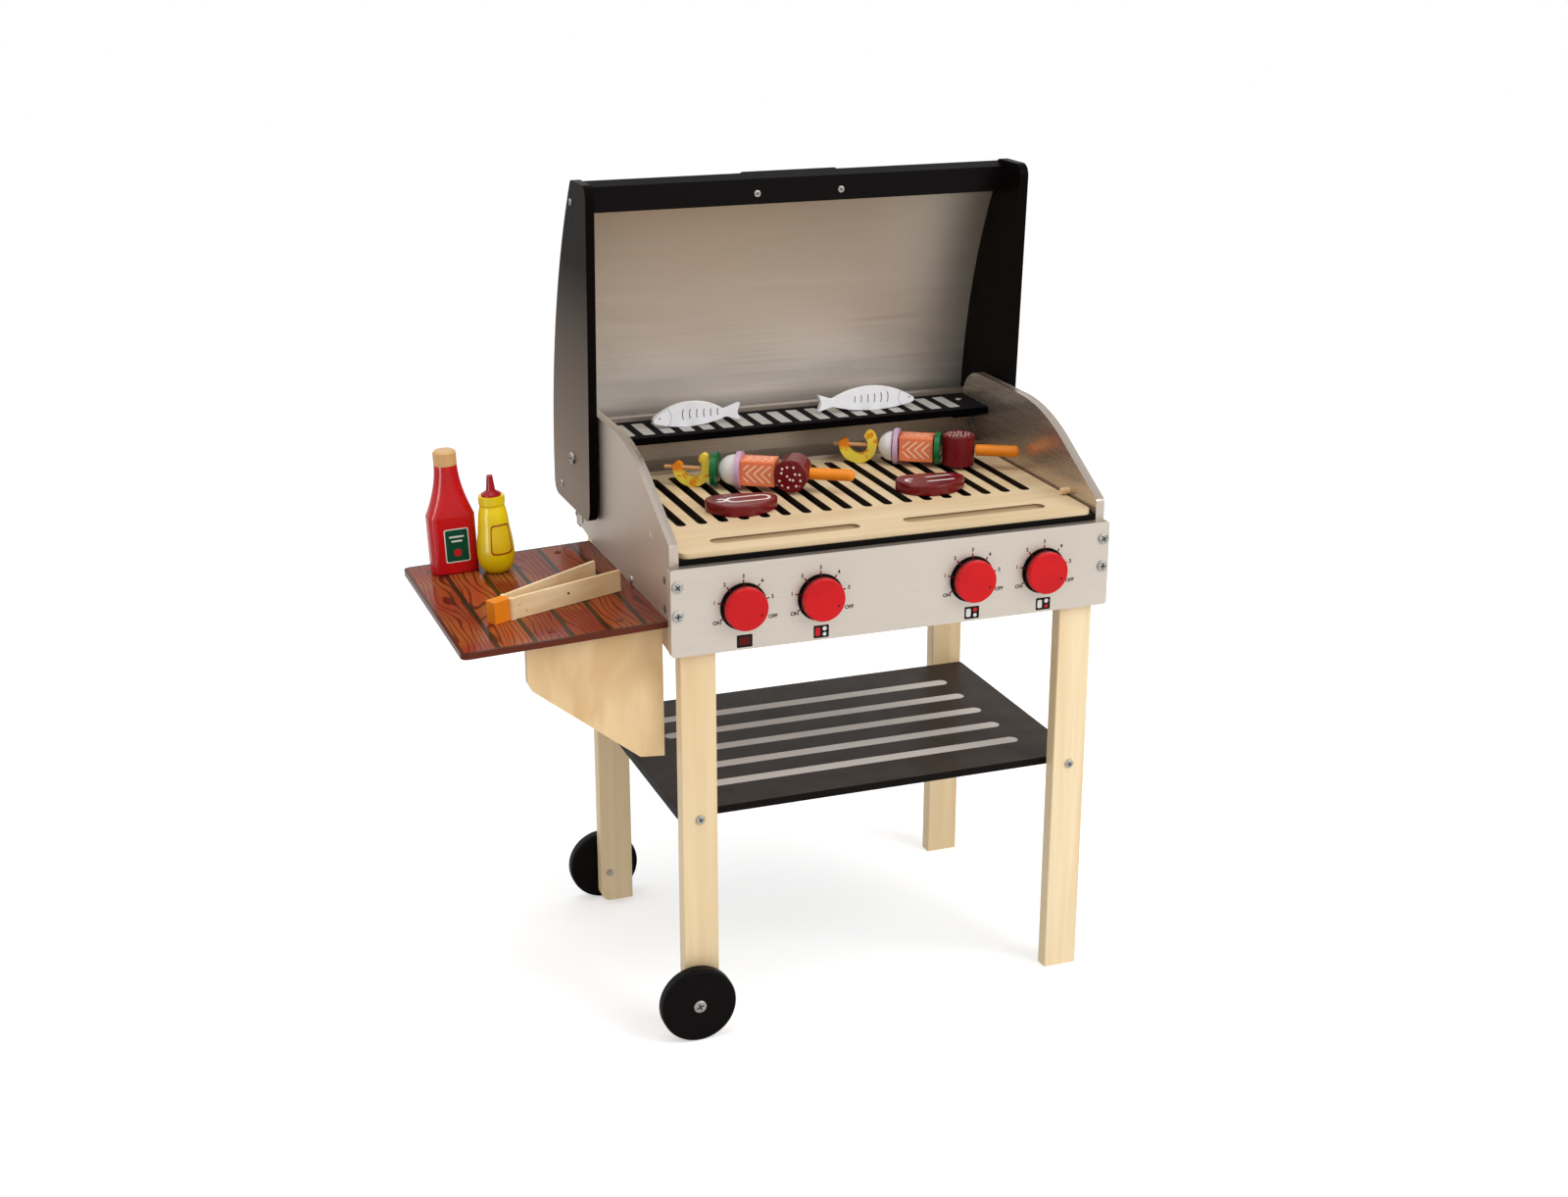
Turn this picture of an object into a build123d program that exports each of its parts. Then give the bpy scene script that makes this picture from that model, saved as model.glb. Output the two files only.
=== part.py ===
from build123d import *
import os
from math import atan2, cos, degrees, pi, radians, sin, sqrt, tan

# Toy barbecue grill with its side table, play food, bottles and tongs, in millimetres.
# Grill sizes are measured from the front panel: x from its left end to the right,
# y from its front face to the rear, z up from the floor. The frame's origin lies on
# the floor, under the middle of the whole toy with its lid open.

# Boards and frame
board = 9.0                 # thickness of the panels and of the lid's side plates
grill_width = 450.0         # length of the front panel
panel_low = 398.0           # lower edge of the front panel
panel_height = 85.0
body_depth = 315.0          # side panels, from front panel to rear panel
side_inset = 2.0            # front panel past the side panels at each end
leg_width = 35.0
leg_depth = 16.0
wheel_leg_lift = 4.0        # floor clearance of the two legs that carry wheels
leg_corner = 10.0
edge_round = 1.0            # sanded arris on boards and legs
panel_corner = 3.0

# Side panels
side_front_top = 503.0      # top of the upright front edge
side_front_round = 4.0
side_crown = 570.5          # highest edge of a side panel
side_slope_y = 88.0         # end of the straight front slope
side_slope_z = 546.0
side_crown_front = 186.0
side_rear_round = 41.0      # radius of the rear upper corner
side_rear_low = 437.0

# Cooking area
tray_top = 488.5
tray_thick = 9.0
grate_thick = 5.0
grate_front = 10.8
grate_side_gap = 3.0
grate_corner = 9.0
slot_count = 18
slot_pitch = 21.4
slot_width = 10.0
slot_front = 96.0
slot_rear_margin = 13.5     # from the slots' rear ends to the grate's rear edge
groove_y = 40.0
groove_width = 16.0
groove_depth = 3.0
groove_length = 150.0
groove_middle = 98.0        # from the grill's middle to the middle of a groove
ledge_top = 497.5
ledge_depth = 45.0
ledge_gap = 0.5             # between the grate and the ledge behind it
rack_top = 540.5
rack_thick = 8.0
rack_depth = 68.0
rack_screw_side = 16.4      # from a side panel to a rack screw
rack_screw_rear = 28.0      # from the rear panel to a rack screw
cleat_width = 24.0
cleat_depth = 36.0
cleat_height = 11.0
rear_panel_low = 432.0
rear_panel_top = 545.0
peg_y = 67.0
peg_radius = 3.5
peg_length = 9.0
peg_gap = 0.6               # between a peg and the grate below it

# Lower shelf
shelf_top = 231.5
shelf_thick = 8.0
shelf_corner = 3.0

# Lid, as it stands open
pivot_inset = 29.0          # from the side panels' rear edge forward to the pivot
pivot_z = 515.8
lid_gap = 2.5               # between a side panel and the lid plate outside it
lid_top = 800.3
lid_low = 460.7
lid_low_reach = 85.0        # from the side panels' rear edge forward to the lower corner
lid_top_reach = 103.8       # and to the upper corner
lid_rear_reach = 50.7       # from the side panels' rear edge back to the lid's
lid_taper = 100.5           # how far the bowed rear edge comes forward at the top
lid_bow_z = 480.6           # where the bow begins
lid_front_top_corner = 12.0
lid_rear_top_corner = 8.0
lid_front_low_corner = 15.0
lid_rear_low_corner = 14.0
skin_thick = 4.0
skin_top_inset = 12.0       # skin's inner face from the plates' rear edge, at its top
skin_mid_inset = 18.0
skin_low_inset = 22.0
skin_low = 466.0
rail_reach = 59.8           # from the side panels' rear edge forward to the rail's face
rail_drop = 32.3            # from the lid's top down to the rail's lower edge
rail_height = 25.5
rail_lean = 1.4
rail_top_depth = 9.8
rail_depth = 22.8
rail_top_drop = 2.0         # from the lid's top to the rail's rear upper edge
rear_rail_gap = 2.0         # between the open lid's lower batten and the rear panel
rear_rail_depth = 15.0
rear_rail_height = 22.0
handle_reach = 20.0
handle_thick = 18.0
handle_half = 54.0
handle_slot_half = 27.0
handle_slot_depth = 9.0
handle_drop = 2.0           # handle's middle below the rail's, along its slanted back
handle_screw_x = 45.0
handle_screw_drop = 21.6    # from the lid's top down to the handle's screws
plate_screw_y = 10.0        # from a rail's front face to the screw in its end

# Knobs
knob_radius = 20.8
knob_depth = 10.7
knob_outer_x = 154.5        # from the grill's middle
knob_inner_x = 78.0
collar_radius = 23.0
collar_thick = 1.0

# Wheels
wheel_radius = 38.0
wheel_thick = 14.0
wheel_round = 3.0
wheel_hub_radius = 12.0
wheel_hub_rise = 0.8
axle_x = 20.0
spacer_thick = 3.0
spacer_radius = 9.0

# Side table, drooping outwards a little as it stands
table_length = 194.0
table_front = 15.0
table_rear = 285.0
table_thick = 6.0
table_top = 429.2           # top face at the side panel
table_droop = 2.4           # degrees
table_corner = 7.0
bracket_front = 34.0
bracket_thick = 8.0
bracket_low = 288.0
bracket_foot = 24.0         # flat end of a bracket beside the leg
bracket_reach = 130.0
bracket_outer_z = 374.0
bracket_fillet = 6.0
bracket_screw_rise = 13.0   # screws into the brackets, above the side panel's lower edge
table_screw_near = 40.0     # from the side panel to a bracket's first screw
table_screw_inset = 25.0    # from a bracket's outer end to its second screw
panel_screw_y = 132.0
panel_screw_rise = 4.6      # above the table top

# Fasteners and fits
head_radius = 5.0
head_thick = 2.0
bolt_radius = 3.0
bolt_depth = 24.0
nut_radius = 4.0
nut_y = 16.0                # from a panel to its barrel nuts
bolt_high = 68.0            # front panel's bolts above its lower edge
bolt_low = 40.0
rear_bolt_low = 445.0
rear_bolt_high = 490.0
screw_radius = 2.0
screw_head = 3.6
screw_head_thick = 1.5
screw_depth = 8.0
pivot_radius = 4.0
pivot_head = 6.5
pivot_head_thick = 3.0
fit = 0.05                  # radial clearance round a fixed bolt
run = 0.1                   # radial clearance round a turning one
seat = 0.3                  # loose piece above its seat, and turning face to face

# Play food and table things
fish_height = 26.0
fish_thick = 7.0
fish_left_length = 97.0
fish_right_length = 113.0
fish_tail = 16.0
fish_inset = 40.0           # from the rear panel forward to a fish's front face
steak_length = 72.0
steak_width = 48.0
steak_thick = 11.0
stick_radius = 2.0
stick_length = 195.0
stick_yaw = -31.0           # degrees, from the grill's length
stick_grip = 45.0           # handle's length
grip_radius = 6.0
shrimp_outer = 20.0
shrimp_inner = 10.5
shrimp_thick = 9.0
lilac_radius = 19.0
lilac_thick = 5.0
green_radius = 17.0
green_thick = 5.5
mushroom_radius = 15.7
salmon_length = 35.0
salmon_side = 26.0
salami_radius = 16.8
salami_length = 32.0
ketchup_body = 58.0         # heights of the bottle's straight part, shoulder, neck, cap
ketchup_shoulder = 14.0
ketchup_neck = 37.5
ketchup_cap_height = 14.5
ketchup_width = 47.0
ketchup_depth = 27.0
ketchup_side_inset = 46.5   # middles of the bottles from the table's outer and rear edges
ketchup_rear_inset = 30.5
mustard_side_inset = 85.0
mustard_rear_inset = 51.5
mustard_body = 68.0         # heights of the turned body, its collar and its nozzle
mustard_collar = 10.0
mustard_nozzle_height = 20.5
mustard_radius = 18.5
mustard_foot = 10.5
mustard_upper = 15.5
mustard_waist = 12.2
mustard_rim = 13.0
mustard_groove = 2.0
nozzle_base = 9.8
nozzle_root = 4.6
nozzle_tip = 2.9
nozzle_step = 2.2
nozzle_slope = 3.0
tong_length = 118.0
tong_height = 21.0
tong_thick = 3.0
tong_block_length = 20.0
tong_block_width = 13.0
tong_bead = 3.0
tong_splay = 6.4            # degrees that each arm opens
tong_yaw = 22.3
tong_reach = 131.7          # from the side panel out to the arms' beads
tong_inset = 76.8           # and back from the table's front edge

# Worked-out places
middle = grill_width / 2
panel_top = panel_low + panel_height
side_left = side_inset
side_right = grill_width - side_inset
inner_left = side_left + board
inner_right = side_right - board
rear_face = board + body_depth
leg_left = inner_left
leg_right = inner_right - leg_width
rear_leg_front = rear_face - leg_depth
grate_rear = rear_face - ledge_depth - ledge_gap
slot_rear = grate_rear - slot_rear_margin
pivot_y = rear_face - pivot_inset
lid_rear_y = rear_face + lid_rear_reach
lid_front_low_y = rear_face - lid_low_reach
lid_front_top_y = rear_face - lid_top_reach
lid_bow = ((lid_top - lid_bow_z) ** 2 + lid_taper ** 2) / (2 * lid_taper)
rail_face_y = rear_face - rail_reach
rail_low = lid_top - rail_drop
rail_back_z = lid_top - rail_top_drop
handle_screw_z = lid_top - handle_screw_drop
rear_rail_front = rear_face + board + rear_rail_gap
brackets = (bracket_front, table_front + table_rear - bracket_front - bracket_thick)
bracket_screw_z = panel_low + bracket_screw_rise
panel_screw_z = table_top + panel_screw_rise
rack_screws = (inner_left + rack_screw_side, inner_right - rack_screw_side)
table_screws = (table_screw_near, bracket_reach - table_screw_inset)
tray_low = tray_top - tray_thick
grate_low = tray_top
grate_top = grate_low + grate_thick
plate_left = side_left - lid_gap - board
plate_right = side_right + lid_gap
panel_middle = panel_low + panel_height / 2
knob_face = -(collar_thick + seat + knob_depth)
droop = radians(table_droop)
reach_left = side_left - table_length * cos(droop)
reach_right = plate_right + board + pivot_head_thick
shift_x = -(reach_left + reach_right) / 2
shift_y = -(knob_face + lid_rear_y) / 2


def level(z, x=0.0, y=0.0):
    """Horizontal plane at a height, facing up."""
    return Plane(origin=(shift_x + x, shift_y + y, z), x_dir=(1, 0, 0), z_dir=(0, 0, 1))


def upright(y):
    """Plane across the grill, facing front, with local x and z up."""
    return Plane(origin=(shift_x, shift_y + y, 0), x_dir=(1, 0, 0), z_dir=(0, -1, 0))


def sideways(x):
    """Plane along the grill's depth, facing right, with local y and z up."""
    return Plane(origin=(shift_x + x, shift_y, 0), x_dir=(0, 1, 0), z_dir=(1, 0, 0))


def save(part, name, colour):
    part.label = name
    part.color = Color(*colour)
    export_step(part, "parts/" + name + ".step")


def plate_rear(z):
    """y of the lid plates' bowed rear edge at a height."""
    return lid_rear_y - lid_bow + sqrt(lid_bow ** 2 - (z - lid_bow_z) ** 2)


silver = (0.78, 0.75, 0.71)
black = (0.05, 0.05, 0.05)
birch = (0.95, 0.86, 0.68)
steel = (0.70, 0.70, 0.70)
red = (0.85, 0.12, 0.12)
brown = (0.60, 0.28, 0.20)

os.makedirs("parts", exist_ok=True)

# Legs: square posts behind the panels, the left pair carrying a wheel each
for name, x, y, low in (
    ("leg_front_left", leg_left, board, wheel_leg_lift),
    ("leg_front_right", leg_right, board, 0.0),
    ("leg_rear_left", leg_left, rear_leg_front, wheel_leg_lift),
    ("leg_rear_right", leg_right, rear_leg_front, 0.0),
):
    at_front = y < rear_leg_front
    with BuildPart() as leg:
        with BuildSketch(upright(y + leg_depth)):
            with Locations((x + leg_width / 2, (low + tray_low) / 2)):
                Rectangle(leg_width, tray_low - low)
        extrude(amount=leg_depth)
        if low > 0:
            foot = leg.edges().filter_by(Axis.Y).group_by(Axis.Z)[0].sort_by(Axis.X)[0]
            fillet(foot, leg_corner)
        fillet(leg.edges().filter_by(Axis.Z), edge_round)
        # Hole for the shelf bolt through the middle of the leg
        with BuildSketch(upright(y + leg_depth)):
            with Locations((x + leg_width / 2, shelf_top - shelf_thick / 2)):
                Circle(bolt_radius - 0.5 + fit)
        extrude(amount=leg_depth, mode=Mode.SUBTRACT)
        if low > 0:
            with BuildSketch(upright(y + leg_depth)):
                with Locations((axle_x, wheel_radius)):
                    Circle(bolt_radius + fit)
            extrude(amount=leg_depth, mode=Mode.SUBTRACT)
    save(leg.part, name, birch)

# Side panels: front edge upright, then a straight slope and a crown under the lid
for name, x in (("side_panel_left", side_left), ("side_panel_right", inner_right)):
    outer = x == side_left
    with BuildPart() as side:
        with BuildSketch(sideways(x)) as face:
            with BuildLine():
                l1 = Line((board, panel_low), (board, side_front_top))
                l2 = Line(l1 @ 1, (side_slope_y, side_slope_z))
                l3 = TangentArc(l2 @ 1, (side_crown_front, side_crown), tangent=l2 % 1)
                l4 = Line(l3 @ 1, (rear_face - side_rear_round, side_crown))
                l5 = TangentArc(l4 @ 1, (rear_face, side_crown - side_rear_round),
                                tangent=l4 % 1)
                l6 = Line(l5 @ 1, (rear_face, side_rear_low))
                Line(l6 @ 1, l1 @ 0)
            make_face()
            corner = face.vertices().sort_by_distance((board, side_front_top))[0]
            fillet(corner, side_front_round)
        extrude(amount=board)
        # Bolt holes into both upright edges, barrel nuts across them, and the pivot
        for face_y, heights, way in (
            (board, (panel_low + bolt_low, panel_low + bolt_high), 1),
            (rear_face, (rear_bolt_low, rear_bolt_high), -1),
        ):
            for z in heights:
                with BuildSketch(upright(face_y)):
                    with Locations((x + board / 2, z)):
                        Circle(bolt_radius + fit)
                extrude(amount=-way * bolt_depth, mode=Mode.SUBTRACT)
                with BuildSketch(sideways(x)):
                    with Locations((face_y + way * nut_y, z)):
                        Circle(nut_radius + fit)
                extrude(amount=board, mode=Mode.SUBTRACT)
        with BuildSketch(sideways(x)):
            with Locations((pivot_y, pivot_z)):
                Circle(pivot_radius + fit)
            if outer:
                for y in brackets:
                    with Locations((y + bracket_thick / 2, bracket_screw_z)):
                        Circle(screw_radius + fit)
                with Locations((panel_screw_y, panel_screw_z)):
                    Circle(screw_radius + fit)
            with Locations((peg_y, grate_top + peg_gap + peg_radius)):
                Circle(peg_radius + fit)
        extrude(amount=board, mode=Mode.SUBTRACT)
    save(side.part, name, silver)

# Front panel with four bolt holes and four small bores behind the knobs
with BuildPart() as front_panel:
    with BuildSketch(upright(board)):
        with Locations((middle, panel_middle)):
            Rectangle(grill_width, panel_height)
    extrude(amount=board)
    fillet(front_panel.edges().filter_by(Axis.Y), panel_corner)
    with BuildSketch(upright(board)):
        for x in (side_left + board / 2, side_right - board / 2):
            for z in (panel_low + bolt_low, panel_low + bolt_high):
                with Locations((x, z)):
                    Circle(bolt_radius + fit)
        for dial_x in (-knob_outer_x, -knob_inner_x, knob_inner_x, knob_outer_x):
            with Locations((middle + dial_x, panel_middle)):
                Circle(pivot_radius + run)
    extrude(amount=board, mode=Mode.SUBTRACT)
save(front_panel.part, "front_panel", silver)

# Rear panel, closing the back between the side panels
with BuildPart() as rear_panel:
    with BuildSketch(upright(rear_face + board)):
        with Locations((middle, (rear_panel_low + rear_panel_top) / 2)):
            Rectangle(grill_width - 2 * side_inset, rear_panel_top - rear_panel_low)
    extrude(amount=board)
    fillet(rear_panel.edges().filter_by(Axis.Y), panel_corner)
    with BuildSketch(upright(rear_face + board)):
        for x in (side_left + board / 2, side_right - board / 2):
            for z in (rear_bolt_low, rear_bolt_high):
                with Locations((x, z)):
                    Circle(bolt_radius + fit)
    extrude(amount=board, mode=Mode.SUBTRACT)
save(rear_panel.part, "rear_panel", silver)

# Burner tray resting on the legs
with BuildPart() as burner_tray:
    with BuildSketch(level(tray_low)):
        with Locations((middle, (board + rear_face) / 2)):
            Rectangle(inner_right - inner_left, body_depth)
    extrude(amount=tray_thick)
save(burner_tray.part, "burner_tray", black)

# Grate: a board with a row of long slots and two blind grooves along its front
with BuildPart() as grate:
    with BuildSketch(level(grate_low)):
        with Locations((middle, (grate_front + grate_rear) / 2)):
            RectangleRounded(inner_right - inner_left - 2 * grate_side_gap,
                             grate_rear - grate_front, grate_corner)
    extrude(amount=grate_thick)
    with BuildSketch(level(grate_low)):
        with Locations((middle, (slot_front + slot_rear) / 2)):
            with GridLocations(slot_pitch, 1, slot_count, 1):
                SlotOverall(slot_rear - slot_front, slot_width, rotation=90)
    extrude(amount=grate_thick, mode=Mode.SUBTRACT)
    with BuildSketch(level(grate_top)):
        with Locations((middle - groove_middle, groove_y), (middle + groove_middle, groove_y)):
            SlotOverall(groove_length, groove_width)
    extrude(amount=-groove_depth, mode=Mode.SUBTRACT)
save(grate.part, "grate", birch)

# Ledge behind the grate
with BuildPart() as rear_ledge:
    with BuildSketch(level(tray_top)):
        with Locations((middle, rear_face - ledge_depth / 2)):
            Rectangle(inner_right - inner_left, ledge_depth)
    extrude(amount=ledge_top - tray_top)
save(rear_ledge.part, "rear_ledge", silver)

# Warming rack on a cleat at each end
with BuildPart() as warming_rack:
    with BuildSketch(level(rack_top - rack_thick)):
        with Locations((middle, rear_face - rack_depth / 2)):
            Rectangle(inner_right - inner_left, rack_depth)
    extrude(amount=rack_thick)
    chamfer(warming_rack.edges().filter_by(Axis.X).group_by(Axis.Y)[0], 1.0)
    with BuildSketch(level(rack_top)):
        for x in rack_screws:
            with Locations((x, rear_face - rack_screw_rear)):
                Circle(screw_radius + fit)
    extrude(amount=-rack_thick, mode=Mode.SUBTRACT)
save(warming_rack.part, "warming_rack", black)

with BuildPart() as rack_cleats:
    with BuildSketch(level(rack_top - rack_thick)):
        for x in (inner_left + cleat_width / 2, inner_right - cleat_width / 2):
            with Locations((x, rear_face - cleat_depth / 2)):
                Rectangle(cleat_width, cleat_depth)
    extrude(amount=-cleat_height)
    fillet(rack_cleats.edges().filter_by(Axis.X).group_by(Axis.Y)[0].group_by(Axis.Z)[0], 4.0)
    with BuildSketch(level(rack_top)):
        for x in rack_screws:
            with Locations((x, rear_face - rack_screw_rear)):
                Circle(screw_radius + fit)
    extrude(amount=-(rack_thick + screw_depth), mode=Mode.SUBTRACT)
save(rack_cleats.part, "rack_cleats", black)

# Wooden pegs that keep the grate down
with BuildPart() as grate_pegs:
    for x, way in ((side_left, 1), (side_right, -1)):
        with BuildSketch(sideways(x)):
            with Locations((peg_y, grate_top + peg_gap + peg_radius)):
                Circle(peg_radius)
        extrude(amount=way * (board + peg_length))
    chamfer(grate_pegs.edges().filter_by(GeomType.CIRCLE), 0.6)
save(grate_pegs.part, "grate_pegs", birch)

# Lower shelf between the legs
with BuildPart() as lower_shelf:
    with BuildSketch(level(shelf_top - shelf_thick)):
        with Locations((middle, (board + leg_depth + rear_leg_front) / 2)):
            RectangleRounded(inner_right - inner_left,
                             rear_leg_front - board - leg_depth, shelf_corner)
    extrude(amount=shelf_thick)
    for face_y, way in ((board + leg_depth, 1), (rear_leg_front, -1)):
        with BuildSketch(upright(face_y)):
            for x in (leg_left + leg_width / 2, leg_right + leg_width / 2):
                with Locations((x, shelf_top - shelf_thick / 2)):
                    Circle(bolt_radius - 0.5 + fit)
        extrude(amount=-way * bolt_depth, mode=Mode.SUBTRACT)
save(lower_shelf.part, "lower_shelf", (0.3, 0.28, 0.28))

# Bolts with round heads: front and rear panels into the side panels
with BuildPart() as frame_bolts:
    for face_y, heights, way in (
        (0.0, (panel_low + bolt_low, panel_low + bolt_high), 1),
        (rear_face + board, (rear_bolt_low, rear_bolt_high), -1),
    ):
        for x in (side_left + board / 2, side_right - board / 2):
            for z in heights:
                with BuildSketch(upright(face_y)):
                    with Locations((x, z)):
                        Circle(head_radius)
                extrude(amount=way * head_thick)
                with BuildSketch(upright(face_y)):
                    with Locations((x, z)):
                        Circle(bolt_radius)
                extrude(amount=-way * (board + nut_y - nut_radius - 0.5))
    # Longer bolts through the legs into the shelf
    for face_y, way in ((board, 1), (rear_face, -1)):
        for x in (leg_left + leg_width / 2, leg_right + leg_width / 2):
            with BuildSketch(upright(face_y)):
                with Locations((x, shelf_top - shelf_thick / 2)):
                    Circle(head_radius - 0.5)
            extrude(amount=way * head_thick)
            with BuildSketch(upright(face_y)):
                with Locations((x, shelf_top - shelf_thick / 2)):
                    Circle(bolt_radius - 0.5)
            extrude(amount=-way * (leg_depth + bolt_depth - 4))
save(frame_bolts.part, "frame_bolts", steel)

with BuildPart() as barrel_nuts:
    for x in (side_left, inner_right):
        for y, heights in (
            (board + nut_y, (panel_low + bolt_low, panel_low + bolt_high)),
            (rear_face - nut_y, (rear_bolt_low, rear_bolt_high)),
        ):
            with BuildSketch(sideways(x)):
                for z in heights:
                    with Locations((y, z)):
                        Circle(nut_radius)
            extrude(amount=board)
    chamfer(barrel_nuts.edges().filter_by(GeomType.CIRCLE), 0.4)
save(barrel_nuts.part, "barrel_nuts", steel)

# Knobs: a thin ring fixed to the panel and a disc whose spindle turns in the panel
with BuildPart() as knob_collars:
    for dial_x in (-knob_outer_x, -knob_inner_x, knob_inner_x, knob_outer_x):
        with BuildSketch(upright(0)):
            with Locations((middle + dial_x, panel_middle)):
                Circle(collar_radius)
                Circle(pivot_radius + run, mode=Mode.SUBTRACT)
        extrude(amount=collar_thick)
    rims = knob_collars.edges().filter_by(GeomType.CIRCLE).filter_by(
        lambda e: e.radius > knob_radius).group_by(Axis.Y)[0]
    chamfer(rims, 0.3)
save(knob_collars.part, "knob_collars", black)

for name, dial_x in (
    ("knob_outer_left", -knob_outer_x),
    ("knob_inner_left", -knob_inner_x),
    ("knob_inner_right", knob_inner_x),
    ("knob_outer_right", knob_outer_x),
):
    with BuildPart() as knob:
        with BuildSketch(upright(-collar_thick - seat)):
            with Locations((middle + dial_x, panel_middle)):
                Circle(knob_radius)
        extrude(amount=knob_depth)
        front_rim = knob.edges().filter_by(GeomType.CIRCLE).group_by(Axis.Y)[0]
        fillet(front_rim, 1.5)
        with BuildSketch(upright(-collar_thick - seat)):
            with Locations((middle + dial_x, panel_middle)):
                Circle(pivot_radius)
        extrude(amount=-(collar_thick + seat + board + 3.0))
        # Keeper on the spindle's end, behind the panel
        with BuildSketch(upright(board + seat)):
            with Locations((middle + dial_x, panel_middle)):
                Circle(pivot_radius + 3.0)
        extrude(amount=-2.7)
    save(knob.part, name, red)

# Wheels, each on a bolt through its leg with a spacer between
for name, inner_face, way in (
    ("wheel_front", board - spacer_thick - seat, 1),
    ("wheel_rear", rear_face + spacer_thick + seat, -1),
):
    with BuildPart() as wheel:
        with BuildSketch(upright(inner_face)):
            with Locations((axle_x, wheel_radius)):
                Circle(wheel_radius)
        extrude(amount=way * wheel_thick)
        fillet(wheel.edges().filter_by(GeomType.CIRCLE), wheel_round)
        with BuildSketch(upright(inner_face)):
            with Locations((axle_x, wheel_radius)):
                Circle(bolt_radius + run)
        extrude(amount=way * wheel_thick, mode=Mode.SUBTRACT)
    save(wheel.part, name, (0.95, 0.86, 0.68))

with BuildPart() as wheel_bolts:
    for inner_face, way in ((board - spacer_thick - seat, 1),
                            (rear_face + spacer_thick + seat, -1)):
        outer_face = inner_face - way * (wheel_thick + seat)
        with BuildSketch(upright(outer_face)):
            with Locations((axle_x, wheel_radius)):
                Circle(head_radius + 1.5)
        extrude(amount=way * head_thick)
        with BuildSketch(upright(outer_face)):
            with Locations((axle_x, wheel_radius)):
                Circle(bolt_radius)
        extrude(amount=-way * (wheel_thick + 2 * seat + spacer_thick + leg_depth + 3))
save(wheel_bolts.part, "wheel_bolts", steel)

# Lid side plates: a bowed rear edge between two rounded ends
bow_middle = (lid_top + lid_bow_z) / 2
plate_screws = ((rail_face_y + plate_screw_y, handle_screw_z),
                (rear_rail_front + rear_rail_depth / 2, skin_low + rear_rail_height / 2))
for name, x in (("lid_side_left", plate_left), ("lid_side_right", plate_right)):
    with BuildPart() as lid_side:
        with BuildSketch(sideways(x)) as face:
            with BuildLine():
                l1 = Line((lid_front_low_y, lid_low), (lid_front_top_y, lid_top))
                l2 = Line(l1 @ 1, (plate_rear(lid_top), lid_top))
                l3 = ThreePointArc(l2 @ 1, (plate_rear(bow_middle), bow_middle),
                                   (lid_rear_y, lid_bow_z))
                l4 = Line(l3 @ 1, (lid_rear_y, lid_low))
                Line(l4 @ 1, l1 @ 0)
            make_face()
            for corner, radius in (
                ((lid_front_low_y, lid_low), lid_front_low_corner),
                ((lid_front_top_y, lid_top), lid_front_top_corner),
                ((plate_rear(lid_top), lid_top), lid_rear_top_corner),
                ((lid_rear_y, lid_low), lid_rear_low_corner),
            ):
                fillet(face.vertices().sort_by_distance(corner)[0], radius)
        extrude(amount=board)
        with BuildSketch(sideways(x)):
            with Locations((pivot_y, pivot_z)):
                Circle(pivot_radius + run)
            with Locations(*plate_screws):
                Circle(screw_radius + fit)
        extrude(amount=board, mode=Mode.SUBTRACT)
    save(lid_side.part, name, black)

# Lid skin: a thin curved sheet between the plates
skin_top = rail_low - 0.2
skin_half_z = (skin_top + skin_low) / 2
skin_x = plate_left + board
skin_width = plate_right - skin_x


def skin_point(z, inset, out=0.0):
    return (plate_rear(z) - inset + out, z)


with BuildPart() as lid_skin:
    with BuildSketch(sideways(skin_x)):
        with BuildLine() as sheet:
            inner = ThreePointArc(skin_point(skin_low, skin_low_inset),
                                  skin_point(skin_half_z, skin_mid_inset),
                                  skin_point(skin_top, skin_top_inset))
            outer = ThreePointArc(skin_point(skin_low, skin_low_inset, skin_thick),
                                  skin_point(skin_half_z, skin_mid_inset, skin_thick + 0.25),
                                  skin_point(skin_top, skin_top_inset, skin_thick + 0.7))
            Line(inner @ 0, outer @ 0)
            Line(inner @ 1, outer @ 1)
        make_face()
    extrude(amount=skin_width)
save(lid_skin.part, "lid_skin", (0.6, 0.56, 0.5))

# Front rail across the top of the lid, with a slanted back for the handle
back_top = (rail_face_y + rail_top_depth, rail_back_z)
back_low = (rail_face_y + rail_depth, rail_low)
with BuildPart() as lid_front_rail:
    with BuildSketch(sideways(skin_x)):
        with BuildLine():
            Polyline((rail_face_y, rail_low), (rail_face_y - rail_lean, rail_low + rail_height),
                     back_top, back_low, close=True)
        make_face()
    extrude(amount=skin_width)
    with BuildSketch(upright(rail_face_y)):
        with Locations((middle - handle_screw_x, handle_screw_z),
                       (middle + handle_screw_x, handle_screw_z)):
            Circle(screw_radius + fit)
    extrude(amount=-2 * rail_depth, mode=Mode.SUBTRACT, both=True)
    for x, way in ((skin_x, 1), (plate_right, -1)):
        with BuildSketch(sideways(x)):
            with Locations(plate_screws[0]):
                Circle(screw_radius + fit)
        extrude(amount=way * (screw_depth + 1), mode=Mode.SUBTRACT)
save(lid_front_rail.part, "lid_front_rail", black)

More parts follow.
